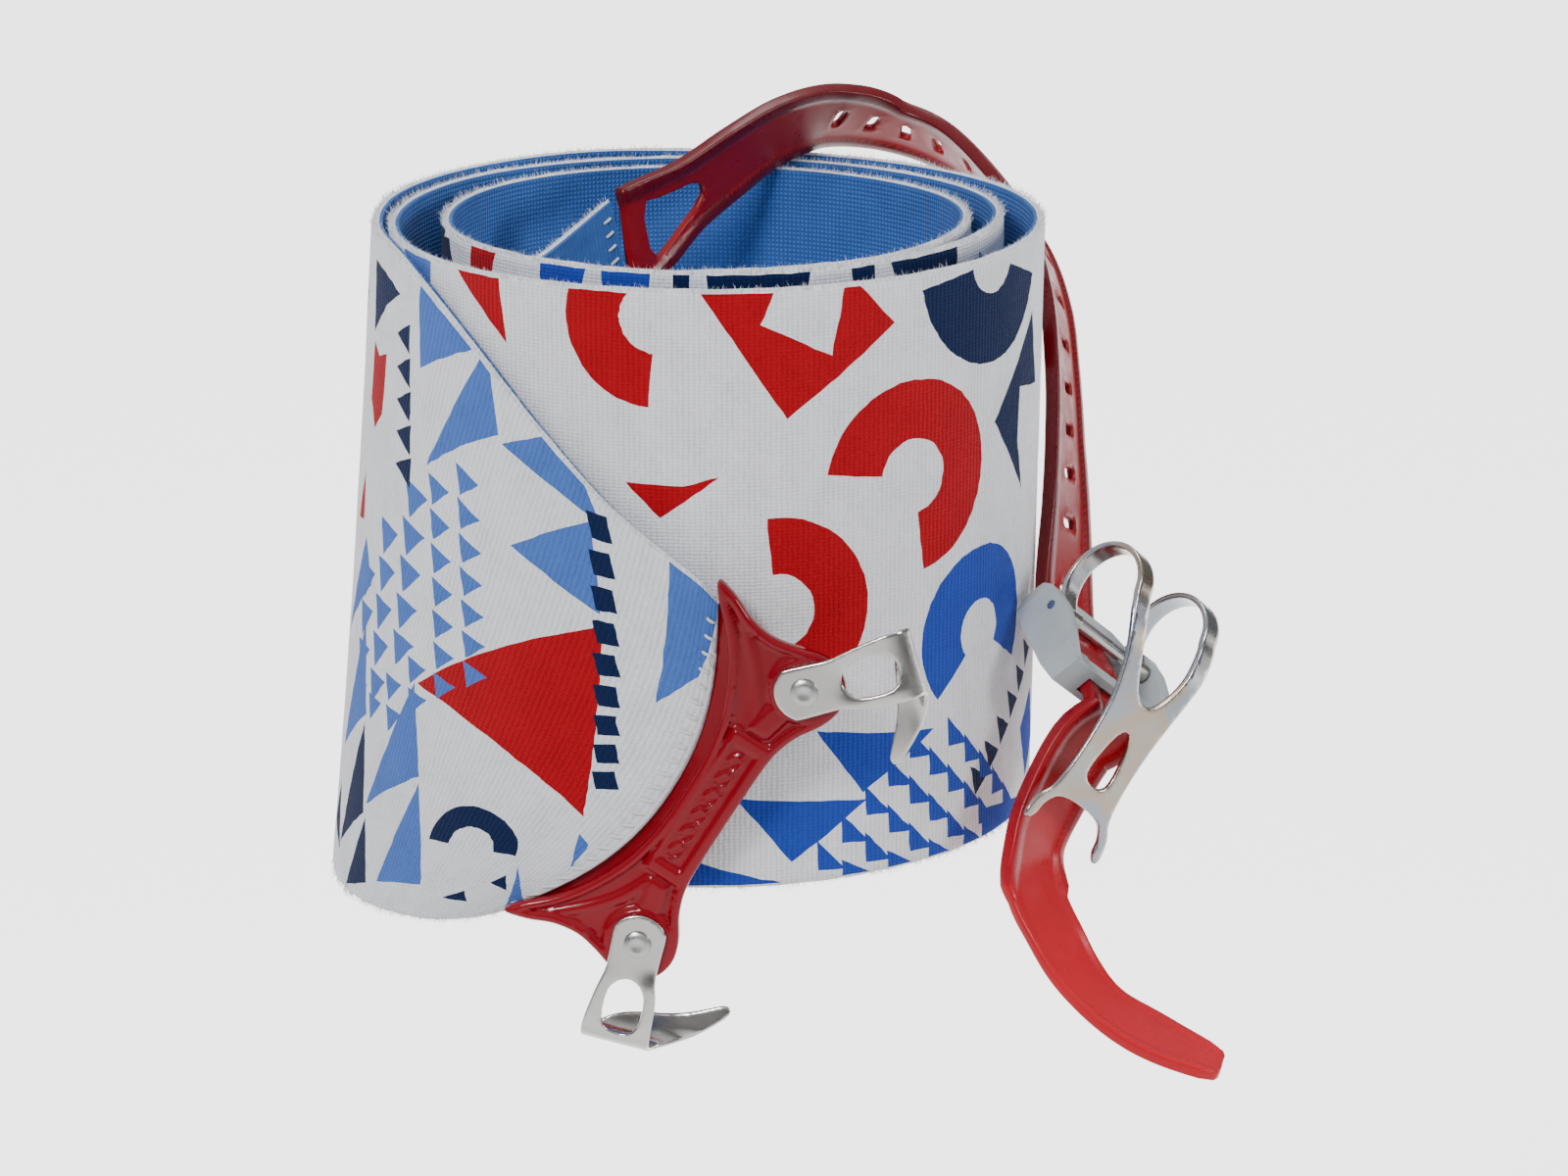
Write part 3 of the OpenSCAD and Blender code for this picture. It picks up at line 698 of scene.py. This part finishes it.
def make_skin():
    p, tris, inks = printed_plan()
    s, v = p[:, 0], p[:, 1] / SKIN_W
    edge = np.minimum(np.minimum(p[:, 1], SKIN_W - p[:, 1]), np.minimum(s, STRIP_LEN - s))
    ripple = np.array([noise.noise(Vector((x * 0.035, y * 0.03, 3.0))) for x, y in p]) * 0.22
    nap = np.array([noise.noise(Vector((x * 1.3, y * 1.3, 5.0))) for x, y in p]) * 0.10
    calm = np.clip(s / 30, 0, 1)
    outer = SKIN_T / 2 - rounding(edge, 1.1) * 0.8 + (ripple * calm * 0.6 + nap) * np.clip(edge / 1.5, 0.2, 1)
    inner = -SKIN_T / 2 + ripple * calm * 0.6
    up, down = strip_point(s, v, outer), strip_point(s, v, inner)
    # the pile swells past the backing's cut edge
    mid = strip_point(s, v, -SKIN_T / 2 + BACKING_T)
    n = len(p)
    walls = open_edges(tris)
    ring = sorted({a for a, _ in walls})
    bulge = []
    for a in ring:
        outward = (p[a, 1] > SKIN_W - 0.05) * 1.0 - (p[a, 1] < 0.05) * 1.0
        swell = 0.45 + 0.3 * noise.noise(Vector((p[a, 0] * 0.8, p[a, 1], 1)))
        bulge.append(up[a] * 0.5 + mid[a] * 0.5 + vec(0, 0, outward * swell))
    where = {a: 2 * n + i for i, a in enumerate(ring)}
    base = {a: 2 * n + len(ring) + i for i, a in enumerate(ring)}
    verts = np.concatenate([up, down, bulge, mid[ring]])
    faces = [list(t) for t in tris] + [[q + n for q in t[::-1]] for t in tris]
    white, backing = 0, len(INK)
    slots = list(inks) + [backing] * len(tris)
    for a, b in walls:
        faces += [[b, a, where[a], where[b]], [where[b], where[a], base[a], base[b]],
                  [base[b], base[a], a + n, b + n]]
        slots += [white, white, backing]
    ob = add_object("climbing_skin", verts, faces, sharp=60)
    for material in [*pile_mats.values(), backing_mat]:
        ob.data.materials.append(material)
    ob.data.polygons.foreach_set("material_index", slots)
    add_uv(ob, np.concatenate([p, p, p[ring], p[ring]]))
    ob.data.update()
    return ob


def make_fuzz():
    """Loose pile fibres along the strip's cut edges."""
    rng = random.Random(7)
    verts, faces = [], []

    def anyhow():
        return vec(rng.uniform(-1, 1), rng.uniform(-1, 1), rng.uniform(-1, 1))

    def fibre(at, lean, length):
        side = unit(np.cross(lean, anyhow())) * 0.06
        tip = at + lean * length + anyhow() * length * 0.35
        bend = at + lean * length * 0.55
        k = len(verts)
        verts.extend([at - side, at + side, bend + side * 0.8, bend - side * 0.8, tip])
        faces.extend([[k, k + 1, k + 2, k + 3], [k + 3, k + 2, k + 4]])

    def edge(s_from, s_to, v, count, up):
        s = np.sort([rng.uniform(s_from, s_to) for _ in range(count)])
        depth = np.array([rng.uniform(-0.35, 1.1) for _ in range(count)])
        base = strip_point(s, np.full(count, v), depth)
        for b in base:
            out = unit(vec(b[0], b[1], 0))
            lean = unit(vec(0, 0, up) + out * rng.uniform(-0.5, 0.9)
                        + vec(rng.uniform(-1, 1), rng.uniform(-1, 1), 0) * 0.4)
            fibre(b - vec(0, 0, up) * 0.25, lean, rng.uniform(0.7, 1.7))

    edge(0, STRIP_LEN, 1.0, 9500, 1)
    edge(0, 500, 0.0, 3600, -1)
    return add_object("edge_fibres", np.array(verts), faces, smooth=False)


skin = make_skin()
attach(skin, "skin")
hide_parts("skin_plush", "skin_backing")
dress(make_fuzz(), pile_mats["white"], "skin")


# ---------------------------------------------------------------- the tip bridge

azimuth, lean = math.radians(264), math.radians(32)
OUT = vec(math.cos(azimuth), math.sin(azimuth), 0)
SIDE = vec(-math.sin(azimuth), math.cos(azimuth), 0)
BAR = -math.sin(lean) * SIDE - math.cos(lean) * vec(0, 0, 1)
ACROSS = np.cross(OUT, BAR)
BRIDGE_O = 73.4 * OUT - 5.2 * SIDE + vec(0, 0, 27)
BRIDGE_T, RIVET_X, RIVET_Y, BORE_R = 3.0, 31.0, 19.0, 2.0
TIP_T, TIP_HALF, LEG_END = 1.0, 6.4, 18.0
NOSE_SIDE = [(0, 10.2), (8, 10.0), (16, 8.6), (22, 6.4), (28, 3.2), (33, -0.6), (37, -4.6)]


def on_bridge(x, y, z):
    return (BRIDGE_O + np.multiply.outer(x, BAR) + np.multiply.outer(y, ACROSS)
            + np.multiply.outer(z, OUT))


def make_bridge():
    right = rounded_open(NOSE_SIDE + [
        (40.4, -6.6), (39.4, -2.0), (37.2, 3.0), (36.4, 8.0), (37.2, 12.6), (38.6, 17.6), (38.2, 22.0),
        (35.4, 25.6), (31.0, 26.8), (26.6, 25.6), (22.0, 22.9), (17.0, 21.2), (11, 20.7), (0, 20.6)])
    outline = np.array(right + [(-x, y) for x, y in right[-2:0:-1]])
    holes = [circle(BORE_R, s * RIVET_X, RIVET_Y) for s in (-1, 1)]
    reg = region(outline, holes, step=0.5, edge=0.7)

    def top(x, y, d):
        ax = np.abs(x)
        lug = smooth_step(7.6, 6.4, np.hypot(ax - RIVET_X, y - RIVET_Y))
        # a rounded rim round sunk fields, with a keel along the bar and arms that run out to the lugs
        keel = smooth_step(4.4, 3.5, np.abs(y - 15.5)) * smooth_step(17.6, 16.6, ax)
        arm_y = 15.6 + (ax - 17) * 0.22
        arm = smooth_step(3.0, 1.6, np.abs(y - arm_y)) * smooth_step(17, 19, ax) * smooth_step(27, 24, ax)
        horn = np.abs(y - (15.0 - 0.0185 * np.maximum(0, ax - 14) ** 2 * 1.55))
        horn = smooth_step(2.2, 0.4, horn) * smooth_step(16, 20, ax)
        raised = np.maximum.reduce([keel, arm * 0.8, horn * 0.45, lug])
        n = BRIDGE_T - rounding(d, 1.0) - 1.15 * smooth_step(1.3, 2.3, d) * (1 - raised)
        panel = smooth_step(3.0, 2.5, np.abs(y - 15.5)) * smooth_step(14.4, 13.9, ax)
        n = n - 0.6 * panel
        # plain relief in the panel: two crossing waves
        for sign in (-1, 1):
            wave = np.abs(y - 15.5 - sign * 1.15 * np.sin(x * 0.72))
            n = n + 0.42 * panel * smooth_step(0.6, 0.2, wave) * smooth_step(13.2, 12.6, ax)
        return n

    def bottom(x, y, d):
        return rounding(d, 0.5)

    return solid("bridge_moulding", reg, on_bridge, top, bottom, sharp=50)


def make_flange():
    """The bridge's thin edge, which runs back under the nose of the strip."""
    us = np.linspace(-36, 36, 37)

    def place(u, v, n):
        rim = np.interp(np.abs(u), *zip(*NOSE_SIDE))
        a = on_bridge(u, rim + 1.2, np.full(len(u), 0.7))
        b = strip_point(np.full(len(u), 3.0), 0.515 - u / 76.5, -SKIN_T / 2 - 0.45)
        return a + (b - a) * (v / 10)[:, None] + np.multiply.outer(n, OUT)

    outline = np.array([(u, 0.0) for u in us] + [(u, 10.0) for u in us[::-1]])
    return solid("bridge_flange", region(outline, [], step=2.0, edge=0.4), place,
                 lambda u, v, d: 0.35 - rounding(d, 0.3), lambda u, v, d: -0.35 + rounding(d, 0.3))


dress(make_bridge(), bridge_mat, "skin", "tip_bridge")
dress(make_flange(), bridge_mat, "skin")


# ---------------------------------------------------------------- stitches


def thread_loops(name, pairs, lift, r=0.3):
    """Short stitches, each a thread that rises from one hole and goes down another."""
    verts, faces = [], []
    ring, steps = 8, 7
    for a, b, out in pairs:
        t = unit(b - a)
        side = unit(np.cross(t, out))
        n = len(verts)
        for i in range(steps):
            u = i / (steps - 1)
            h = lift * (1 - (2 * u - 1) ** 4) - 0.35 * abs(2 * u - 1) ** 3
            c = a + (b - a) * u + out * h
            size = r * (0.55 if i in (0, steps - 1) else 1.0)
            for k in range(ring):
                w = 2 * math.pi * k / ring + u * 2.0
                verts.append(c + size * (math.cos(w) * side + math.sin(w) * out))
        for i in range(steps - 1):
            for k in range(ring):
                q = n + i * ring
                faces.append([q + k, q + (k + 1) % ring, q + ring + (k + 1) % ring, q + ring + k])
        faces.append([n + k for k in range(ring)][::-1])
        faces.append([n + (steps - 1) * ring + k for k in range(ring)])
    return add_object(name, np.array(verts), faces)


def surface_normal(s, v, sign=1):
    a, b = strip_point(s + 0.5, v, sign), strip_point(s - 0.5, v, sign)
    c, d = strip_point(s, v + 0.01, sign), strip_point(s, v - 0.01, sign)
    n = unit(np.cross(a - b, c - d))
    radial = vec(*strip_point(s, v, sign)[:2], 0)
    return n if (n @ radial) * sign > 0 else -n


nose_pairs = []
for k in range(1, 24):
    v = k / 24.5 + 0.008
    nose_pairs.append((strip_point(0.9, v, SKIN_T / 2), strip_point(3.6, v - 0.004, SKIN_T / 2),
                       surface_normal(2.0, v)))
dress(thread_loops("nose_stitches", nose_pairs, 0.35), thread_mat, "skin", "nose_stitching")

tail_pairs = []
for k in range(1, 10):
    v = k / 10
    tail_pairs.append((strip_point(STRIP_LEN - 3.4, v, -SKIN_T / 2),
                       strip_point(STRIP_LEN - 0.8, v, -SKIN_T / 2), surface_normal(STRIP_LEN - 2.0, v, -1)))
dress(thread_loops("tail_stitches", tail_pairs, 0.35), thread_mat, "skin", "tail_stitching")


# ---------------------------------------------------------------- rivets, washers and tip hooks


def at_rivet(s, z=0.0, turn=0.0, mirrored=False):
    """Places points about the upper (s = -1) or lower (s = 1) rivet's axis."""
    c, q = math.cos(turn), math.sin(turn)
    f = -1 if mirrored else 1

    def place(x, y, n):
        x, y = np.asarray(x), np.asarray(y) * f
        return on_bridge(s * RIVET_X + x * c - y * q, RIVET_Y + x * q + y * c, np.asarray(n) + z)

    return place


RIVET_SIDE = [(0.01, -0.05), (1.7, -0.05), (1.9, 0.15), (1.9, 4.2), (2.6, 4.25), (2.72, 4.45), (2.62, 4.75),
              (2.25, 5.0), (1.7, 5.12), (1.2, 5.14), (0.9, 5.02), (0.01, 4.96)]
for s, word in ((-1, "upper"), (1, "lower")):
    dress(lathe(word + "_rivet_head", RIVET_SIDE, at_rivet(s)), rivet_mat, "skin", word + "_rivet")
    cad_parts[word + "_washer"].data.materials[0] = rivet_mat

BEND_R, BEND_SWEEP = 4.5 - TIP_T / 2, math.radians(165)


def tip_place(s, turn, mirrored):
    """Lays a flat hook out in space: a straight leg from the rivet, the bend, then the claw."""
    local = at_rivet(s, BRIDGE_T + 0.1, turn, mirrored)
    arc = BEND_R * BEND_SWEEP

    def place(u, v, n):
        u, v, n = map(np.asarray, (u, v, n))
        a = np.clip((u - LEG_END) / BEND_R, 0, BEND_SWEEP)
        flat = np.minimum(u, LEG_END)
        past = np.maximum(0, u - LEG_END - arc)
        # across the sheet: the leg on the claw's side is cupped, and the claw bends over more towards its tip
        legs = smooth_step(4, 9, u) * (1 - smooth_step(16, 22, u))
        n = n + legs * (0.6 * np.exp(-((v - 4.4) / 2.4) ** 2) + 0.25 * (v / TIP_HALF) ** 2)
        n = n - 1.6 * smooth_step(LEG_END + arc - 3, LEG_END + arc + 2, u) * smooth_step(6, 20, v)
        x = flat + (BEND_R + n) * np.sin(a) + past * np.cos(a)
        z = TIP_T / 2 - BEND_R + (BEND_R + n) * np.cos(a) - past * np.sin(a)
        return local(x, v, z)

    return place


def make_tip_hook(word, s, turn, mirrored):
    c0 = LEG_END + BEND_R * BEND_SWEEP
    eye = [(6.0 * math.cos(a), 6.0 * math.sin(a)) for a in np.radians(np.linspace(118, 242, 15))]
    leg = [(3.0, -5.1), (6.5, -5.0), (10.5, -6.0), (14, -6.6), (LEG_END, -7.2), (LEG_END + 3.0, -7.2)]
    claw = [(-5.4, -6.6), (-2.6, -5.6), (-0.2, -3.4), (1.6, 0.0), (2.6, 4.0), (3.4, 8.6), (4.8, 13.0),
            (7.0, 17.4), (7.9, 19.4), (7.4, 20.6), (6.0, 20.6), (3.0, 17.8), (-0.5, 13.9), (-2.6, 10.4),
            (-4.4, 7.8), (-7.0, 6.8)]
    back = [(LEG_END, 6.5), (14, 6.4), (10.5, 6.1), (6.5, 5.0), (3.0, 5.1)]
    outline = np.array(eye + leg + [(c0 + u, v) for u, v in claw] + back)
    window = rounded([(7.6, -0.9), (8.8, -2.8), (11.2, -3.9), (16.4, -3.9), (18.6, -2.6), (19.2, 0),
                      (18.6, 2.6), (16.4, 3.9), (11.2, 3.9), (8.8, 2.8), (7.6, 0.9)], 1)
    reg = region(rounded(outline, 1), [circle(BORE_R), window], step=0.55, edge=0.34)
    ob = solid(word + "_hook_sheet", reg, tip_place(s, turn, mirrored),
               lambda u, v, d: TIP_T / 2 - rounding(d, 0.38),
               lambda u, v, d: -TIP_T / 2 + rounding(d, 0.38), sharp=55)
    dress(ob, steel_mat, word + "_hook", word + "_tip_hook")


make_tip_hook("upper", -1, math.radians(180 - 42), True)
make_tip_hook("lower", 1, math.radians(19), False)


# ---------------------------------------------------------------- the tail strap

# the slider's seat, and the strap's directions there; then rows of the strap's route, each a point,
# a direction across it and its half width
SEAT = vec(76.6, -20.4, 33.2)
DOWN = unit(vec(0.295, -0.842, -0.453))
WIDE = square_to(vec(0.595, 0.540, -0.595), DOWN)
LIFT = np.cross(DOWN, WIDE)
ROUTE = [
    [-17.7, 25.2, 108.4, 0.10, 0.06, -0.99, 12.4], [-11.0, 31.4, 112.4, 0.16, 0.22, -0.96, 10.8],
    [-4.0, 38.0, 117.0, 0.16, 0.40, -0.90, 9.0], [4.5, 46.0, 122.0, 0.16, 0.54, -0.82, 9.0],
    [14.5, 55.5, 126.8, 0.12, 0.66, -0.74, 9.0], [26.0, 66.0, 127.8, 0.08, 0.72, -0.69, 9.0],
    [38.0, 72.5, 124.6, 0.08, 0.72, -0.69, 9.0], [49.5, 68.0, 121.0, 0.14, 0.70, -0.70, 9.0],
    [59.5, 54.0, 115.6, 0.22, 0.76, -0.61, 9.0], [67.4, 38.6, 108.0, 0.24, 0.84, -0.49, 9.0],
    [71.4, 24.4, 97.5, 0.28, 0.88, -0.38, 9.0], [72.8, 14.6, 84.6, 0.31, 0.89, -0.33, 9.0],
    [73.2, 8.6, 71.6, 0.37, 0.84, -0.40, 9.0], [73.3, 2.4, 57.4, 0.47, 0.71, -0.52, 9.0]]
TAIL = [
    [75.2, -38.9, 20.0, 0.56, 0.52, -0.64, 9.0], [69.8, -42.0, 11.4, 0.56, 0.56, -0.60, 9.0],
    [65.6, -45.5, 1.8, 0.52, 0.60, -0.60, 9.0], [65.7, -50.2, -7.4, 0.75, 0.62, -0.21, 9.0],
    [69.4, -55.5, -14.6, 0.68, 0.73, -0.05, 9.0], [74.0, -59.0, -21.8, 0.50, 0.86, 0.03, 9.4],
    [80.6, -61.5, -28.4, 0.30, 0.95, 0.06, 9.4], [90.4, -63.5, -33.8, 0.21, 0.97, 0.07, 9.4],
    [102.4, -65.5, -38.8, 0.16, 0.98, 0.02, 7.4]]
STRAP = np.array(ROUTE + [[*(SEAT + t * DOWN), *WIDE, 9.0] for t in (-13, -2, 10, 16.4)]
                 + [[*(SEAT + 19 * DOWN - 2.2 * LIFT), *WIDE, 9.0]] + TAIL)
LAST = len(STRAP) - 1
strap_x = np.linspace(0, LAST, 1601)
strap_mid = along(STRAP, strap_x)[:, :3]
strap_s = np.concatenate([[0], np.cumsum(np.linalg.norm(np.diff(strap_mid, axis=0), axis=1))])
strap_t = unit(np.gradient(strap_mid, axis=0))
raw = unit(along(STRAP, strap_x)[:, 3:6])
part = np.minimum(1, strap_x / 3)[:, None]
strap_w = unit(raw * (1 - part) + square_to(raw, strap_t) * part)
strap_n = unit(np.cross(strap_t, strap_w))
strap_half = along(STRAP, strap_x)[:, 6]
STRAP_LEN = float(strap_s[-1])


def at_strap(s, values):
    return np.stack([np.interp(s, strap_s, values[:, k]) for k in range(values.shape[1])], -1)


def on_strap(u, v, n):
    v, n = np.asarray(v)[:, None], np.asarray(n)[:, None]
    return at_strap(u, strap_mid) + at_strap(u, strap_w) * v + at_strap(u, strap_n) * n


def s_of(x):
    """Length along the strap at row x."""
    return float(np.interp(x, strap_x, strap_s))


def make_strap():
    us = np.concatenate([np.arange(0, STRAP_LEN, 3.0), [STRAP_LEN]])
    half = np.interp(us, strap_s, strap_half)
    # the tab ends in a rounded tongue
    tail = np.clip((STRAP_LEN - us) / 5.0, 0, 1)
    half = half * (0.62 + 0.38 * np.sqrt(1 - (1 - tail) ** 2))
    # past the slider the strap steps in to a narrower tab, which widens again to its end
    step_in = s_of(LAST - 5.2)
    half = half - (1.5 * smooth_step(step_in, step_in + 3.2, us)
                   * smooth_step(STRAP_LEN - 16, STRAP_LEN - 32, us))
    outline = np.concatenate([np.stack([us, -half], 1), np.stack([us, half], 1)[::-1]])
    notch = [(-1.0, -1.9), (-0.7, -2.2), (0.7, -2.2), (1.0, -1.9),
             (1.0, 1.9), (0.7, 2.2), (-0.7, 2.2), (-1.0, 1.9)]
    holes = [[(s_of(5.05 + 0.62 * k) + u, v) for u, v in notch] for k in range(15)]
    window = [(-8.4, -6.6), (-8.4, 7.2), (-2, 5.6), (8.6, 3.0), (8.6, -2.2), (-2, -4.6)]
    holes.append(rounded([(s_of(1.45) + u, v) for u, v in window], 1))
    reg = region(outline, holes, step=1.5, edge=0.5, step_v=0.75)
    tab_s = s_of(LAST - 5.4)

    def thick(u, v, d):
        w = np.interp(u, strap_s, strap_half)
        rail = smooth_step(w - 3.4, w - 2.5, np.abs(v))
        plain = smooth_step(tab_s - 4, tab_s + 6, u)
        body = 0.8 + 0.7 * rail * (1 - 0.45 * plain)
        # a raised rim round each notch, and low ribs near the tab's end
        low = smooth_step(0.35, 0.55, d) * smooth_step(1.25, 0.9, d) * (np.abs(v) < 5) * (1 - plain)
        ribs = 0.5 + 0.5 * np.cos(2 * math.pi * u / 3.4)
        ribbed = smooth_step(w - 3.6, w - 4.6, np.abs(v)) * smooth_step(STRAP_LEN - 34, STRAP_LEN - 28, u)
        return body + 0.16 * low + 0.12 * ribs * plain * ribbed

    ob = solid("strap_moulding", reg, on_strap, lambda u, v, d: thick(u, v, d) - rounding(d, 0.55),
               lambda u, v, d: -thick(u, v, d) + rounding(d, 0.55), sharp=50)
    dress(ob, strap_mat, "skin", "tail_strap")
    ob.data.materials.append(rail_mat)
    uv = ob.data.uv_layers["UVMap"].data
    for face in ob.data.polygons:
        u, v = uv[face.loop_start].uv
        wide = float(np.interp(u / MM, strap_s, strap_half))
        face.material_index = 1 if abs(v / MM) > wide - 3.1 and u / MM < tab_s + 3 else 0


make_strap()


# ---------------------------------------------------------------- slider, pin and tail hook


def make_slider():
    """The CAD slider with its edges rounded."""
    ob = bpy.data.objects.new("slider_body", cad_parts["slider"].data.copy())
    bpy.context.scene.collection.objects.link(ob)
    bm = bmesh.new()
    bm.from_mesh(ob.data)
    bmesh.ops.remove_doubles(bm, verts=bm.verts, dist=2e-6)
    bmesh.ops.dissolve_limit(bm, angle_limit=math.radians(2), verts=bm.verts, edges=bm.edges)
    bm.to_mesh(ob.data)
    bm.free()
    ob.data.materials.clear()
    ob.data.polygons.foreach_set("use_smooth", [True] * len(ob.data.polygons))
    bevel = ob.modifiers.new("soft", "BEVEL")
    bevel.width, bevel.segments, bevel.limit_method = 0.45 * MM, 3, "ANGLE"
    bevel.angle_limit = math.radians(28)
    bevel.use_clamp_overlap = True
    ob.modifiers.new("normals", "WEIGHTED_NORMAL").keep_sharp = True
    dress(ob, grey_mat, "slider", "slider")


make_slider()
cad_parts["hook_pin"].data.materials[0] = rivet_mat

PIN = SEAT + 4.4 * LIFT
CURL_O, CURL_R, TAIL_T = vec(0.4, 9.8), 9.4, 1.2
curl = [CURL_O + CURL_R * vec(math.cos(a), math.sin(a))
        for a in np.radians(list(range(-100, -181, -20)) + list(range(160, 39, -20)))]
HOOK_LINE = np.array([tuple(p) for p in curl] + [(9.6, 14.4), (15.2, 9.2), (20.4, 1.6), (25.2, -8.0),
                                                (29.8, -17.4), (34.6, -26.6)])
hook_x = np.linspace(0, len(HOOK_LINE) - 1, 801)
hook_mid = along(HOOK_LINE, hook_x)
hook_s = np.concatenate([[0], np.cumsum(np.linalg.norm(np.diff(hook_mid, axis=0), axis=1))])
hook_t = unit(np.gradient(hook_mid, axis=0))
hook_n = np.stack([-hook_t[:, 1], hook_t[:, 0]], 1)
HOOK_LEN = float(hook_s[-1])


def at_pin(x, y, v):
    return PIN + np.multiply.outer(x, DOWN) + np.multiply.outer(y, LIFT) + np.multiply.outer(v, WIDE)


def on_hook(u, v, n):
    p = np.stack([np.interp(u, hook_s, hook_mid[:, k]) for k in (0, 1)], -1)
    m = np.stack([np.interp(u, hook_s, hook_n[:, k]) for k in (0, 1)], -1)
    q = p + m * np.asarray(n)[:, None]
    return at_pin(q[:, 0], q[:, 1], np.asarray(v))


def make_tail_hook():
    c = float(np.interp(12, hook_x, hook_s))      # where the curl runs into the legs
    head = [(0.4, 14.2), (6, 14.3), (c - 4, 14.2), (c + 4, 13.2), (c + 11, 11.0), (c + 18, 9.2), (c + 25, 8.4),
            (c + 33, 8.4)]
    prong = [(9, 9.4), (5.6, 11.6), (2.2, 12.6), (0.4, 12.3), (0.2, 11.2), (1.8, 10.0), (4.4, 9.4), (6.8, 7.4),
             (7.8, 4.0), (8.0, 0)]
    gap = [(0.4, 9.6), (6, 9.5), (c - 4, 9.4), (c + 4, 8.4), (c + 10, 6.4), (c + 14.5, 3.8), (c + 16.5, 1.4)]
    # the arms' gap is open at the pin's end, so it is part of the outline
    right = rounded_open(head + [(HOOK_LEN - u, v) for u, v in prong])
    outline = np.array(right + [(u, -v) for u, v in right[-2::-1]]
                       + rounded_open([(u, -v) for u, v in gap]) + rounded_open(gap[::-1]))
    window = [(23, -1.9), (23, 1.9), (33.5, 4.3), (35.8, 2.2), (35.8, -2.2), (33.5, -4.3)]
    reg = region(outline, [rounded([(c + u, v) for u, v in window])], step=0.9, edge=0.36)
    ob = solid("tail_hook_sheet", reg, on_hook, lambda u, v, d: TAIL_T / 2 - rounding(d, 0.42),
               lambda u, v, d: -TAIL_T / 2 + rounding(d, 0.42), sharp=55)
    dress(ob, tail_steel_mat, "tail_hook", "tail_hook")

    eye_side = [(1.06, -2.2), (1.8, -2.3), (2.0, -2.1), (2.0, 2.1), (1.8, 2.3), (1.06, 2.2)]
    for side, word in ((-1, "near"), (1, "far")):
        eye = lathe("tail_hook_eye_" + word, eye_side, lambda x, y, h: at_pin(x, y, h + side * 11.9), 28)
        dress(eye, tail_steel_mat, "tail_hook")


make_tail_hook()


# ---------------------------------------------------------------- floor, light and camera

scene = bpy.context.scene
floor_mesh = bpy.data.meshes.new("floor")
FLOOR_Z = -0.30
floor_mesh.from_pydata([(x, y, FLOOR_Z) for x, y in ((-6, -6), (6, -6), (6, 8), (-6, 8))], [], [[0, 1, 2, 3]])
floor = bpy.data.objects.new("floor", floor_mesh)
scene.collection.objects.link(floor)
m = Nodes("floor")
m.set(Base_Color=(0.9, 0.9, 0.9, 1), Roughness=0.9, Emission_Strength=2.6)
# the floor glows behind the part and stays dim in front of it, so that the steel mirrors both
depth = m.add("ShaderNodeSeparateXYZ")
m.link(m.add("ShaderNodeTexCoord").outputs["Object"], depth.inputs[0])
far = m.add("ShaderNodeMapRange")
far.inputs["From Min"].default_value, far.inputs["From Max"].default_value = -0.1, 0.5
m.link(depth.outputs["Y"], far.inputs["Value"])
m.link(m.ramp(far.outputs[0], [(0.0, grey(0.10)), (1.0, grey(1.0))]), m.shader.inputs["Emission Color"])
floor.data.materials.append(m.mat)

world = bpy.data.worlds.new("studio")
world.use_nodes = True
sky = world.node_tree
height = sky.nodes.new("ShaderNodeSeparateXYZ")
shades = sky.nodes.new("ShaderNodeValToRGB")
for stop, (at, value) in zip((shades.color_ramp.elements[0], shades.color_ramp.elements.new(0.35),
                              shades.color_ramp.elements[-1]), ((0.0, 0.12), (0.35, 0.45), (1.0, 1.1))):
    stop.position = at
    stop.color = (value, value, value, 1)
sky.links.new(sky.nodes.new("ShaderNodeTexCoord").outputs["Generated"], height.inputs[0])
sky.links.new(height.outputs["Z"], shades.inputs["Fac"])
sky.links.new(shades.outputs["Color"], sky.nodes["Background"].inputs["Color"])
sky.nodes["Background"].inputs["Strength"].default_value = 0.75
scene.world = world


def lamp(name, place, aim, size, power):
    data = bpy.data.lights.new(name, "AREA")
    data.size, data.energy = size, power
    ob = bpy.data.objects.new(name, data)
    scene.collection.objects.link(ob)
    ob.location = place
    ob.rotation_euler = (Vector(aim) - Vector(place)).to_track_quat("-Z", "Y").to_euler()


lamp("key", (-0.45, -0.85, 0.75), (0, 0, 0.05), 0.26, 9.5)
lamp("side", (0.95, -0.35, 0.45), (0.05, 0, 0.05), 0.20, 4)
lamp("top", (0.1, 0.25, 0.95), (0, 0, 0.06), 0.4, 3.5)

PITCH, DISTANCE, AIM = math.radians(15.5), 1.273, Vector((0.0152, 0, 0.0421))
cam_data = bpy.data.cameras.new("camera")
cam_data.sensor_width, cam_data.lens = 36, 141.9
cam_data.clip_start, cam_data.clip_end = 0.05, 30
camera = bpy.data.objects.new("camera", cam_data)
scene.collection.objects.link(camera)
camera.location = AIM + DISTANCE * Vector((0, -math.cos(PITCH), math.sin(PITCH)))
camera.rotation_euler = (AIM - camera.location).to_track_quat("-Z", "Y").to_euler()
scene.camera = camera
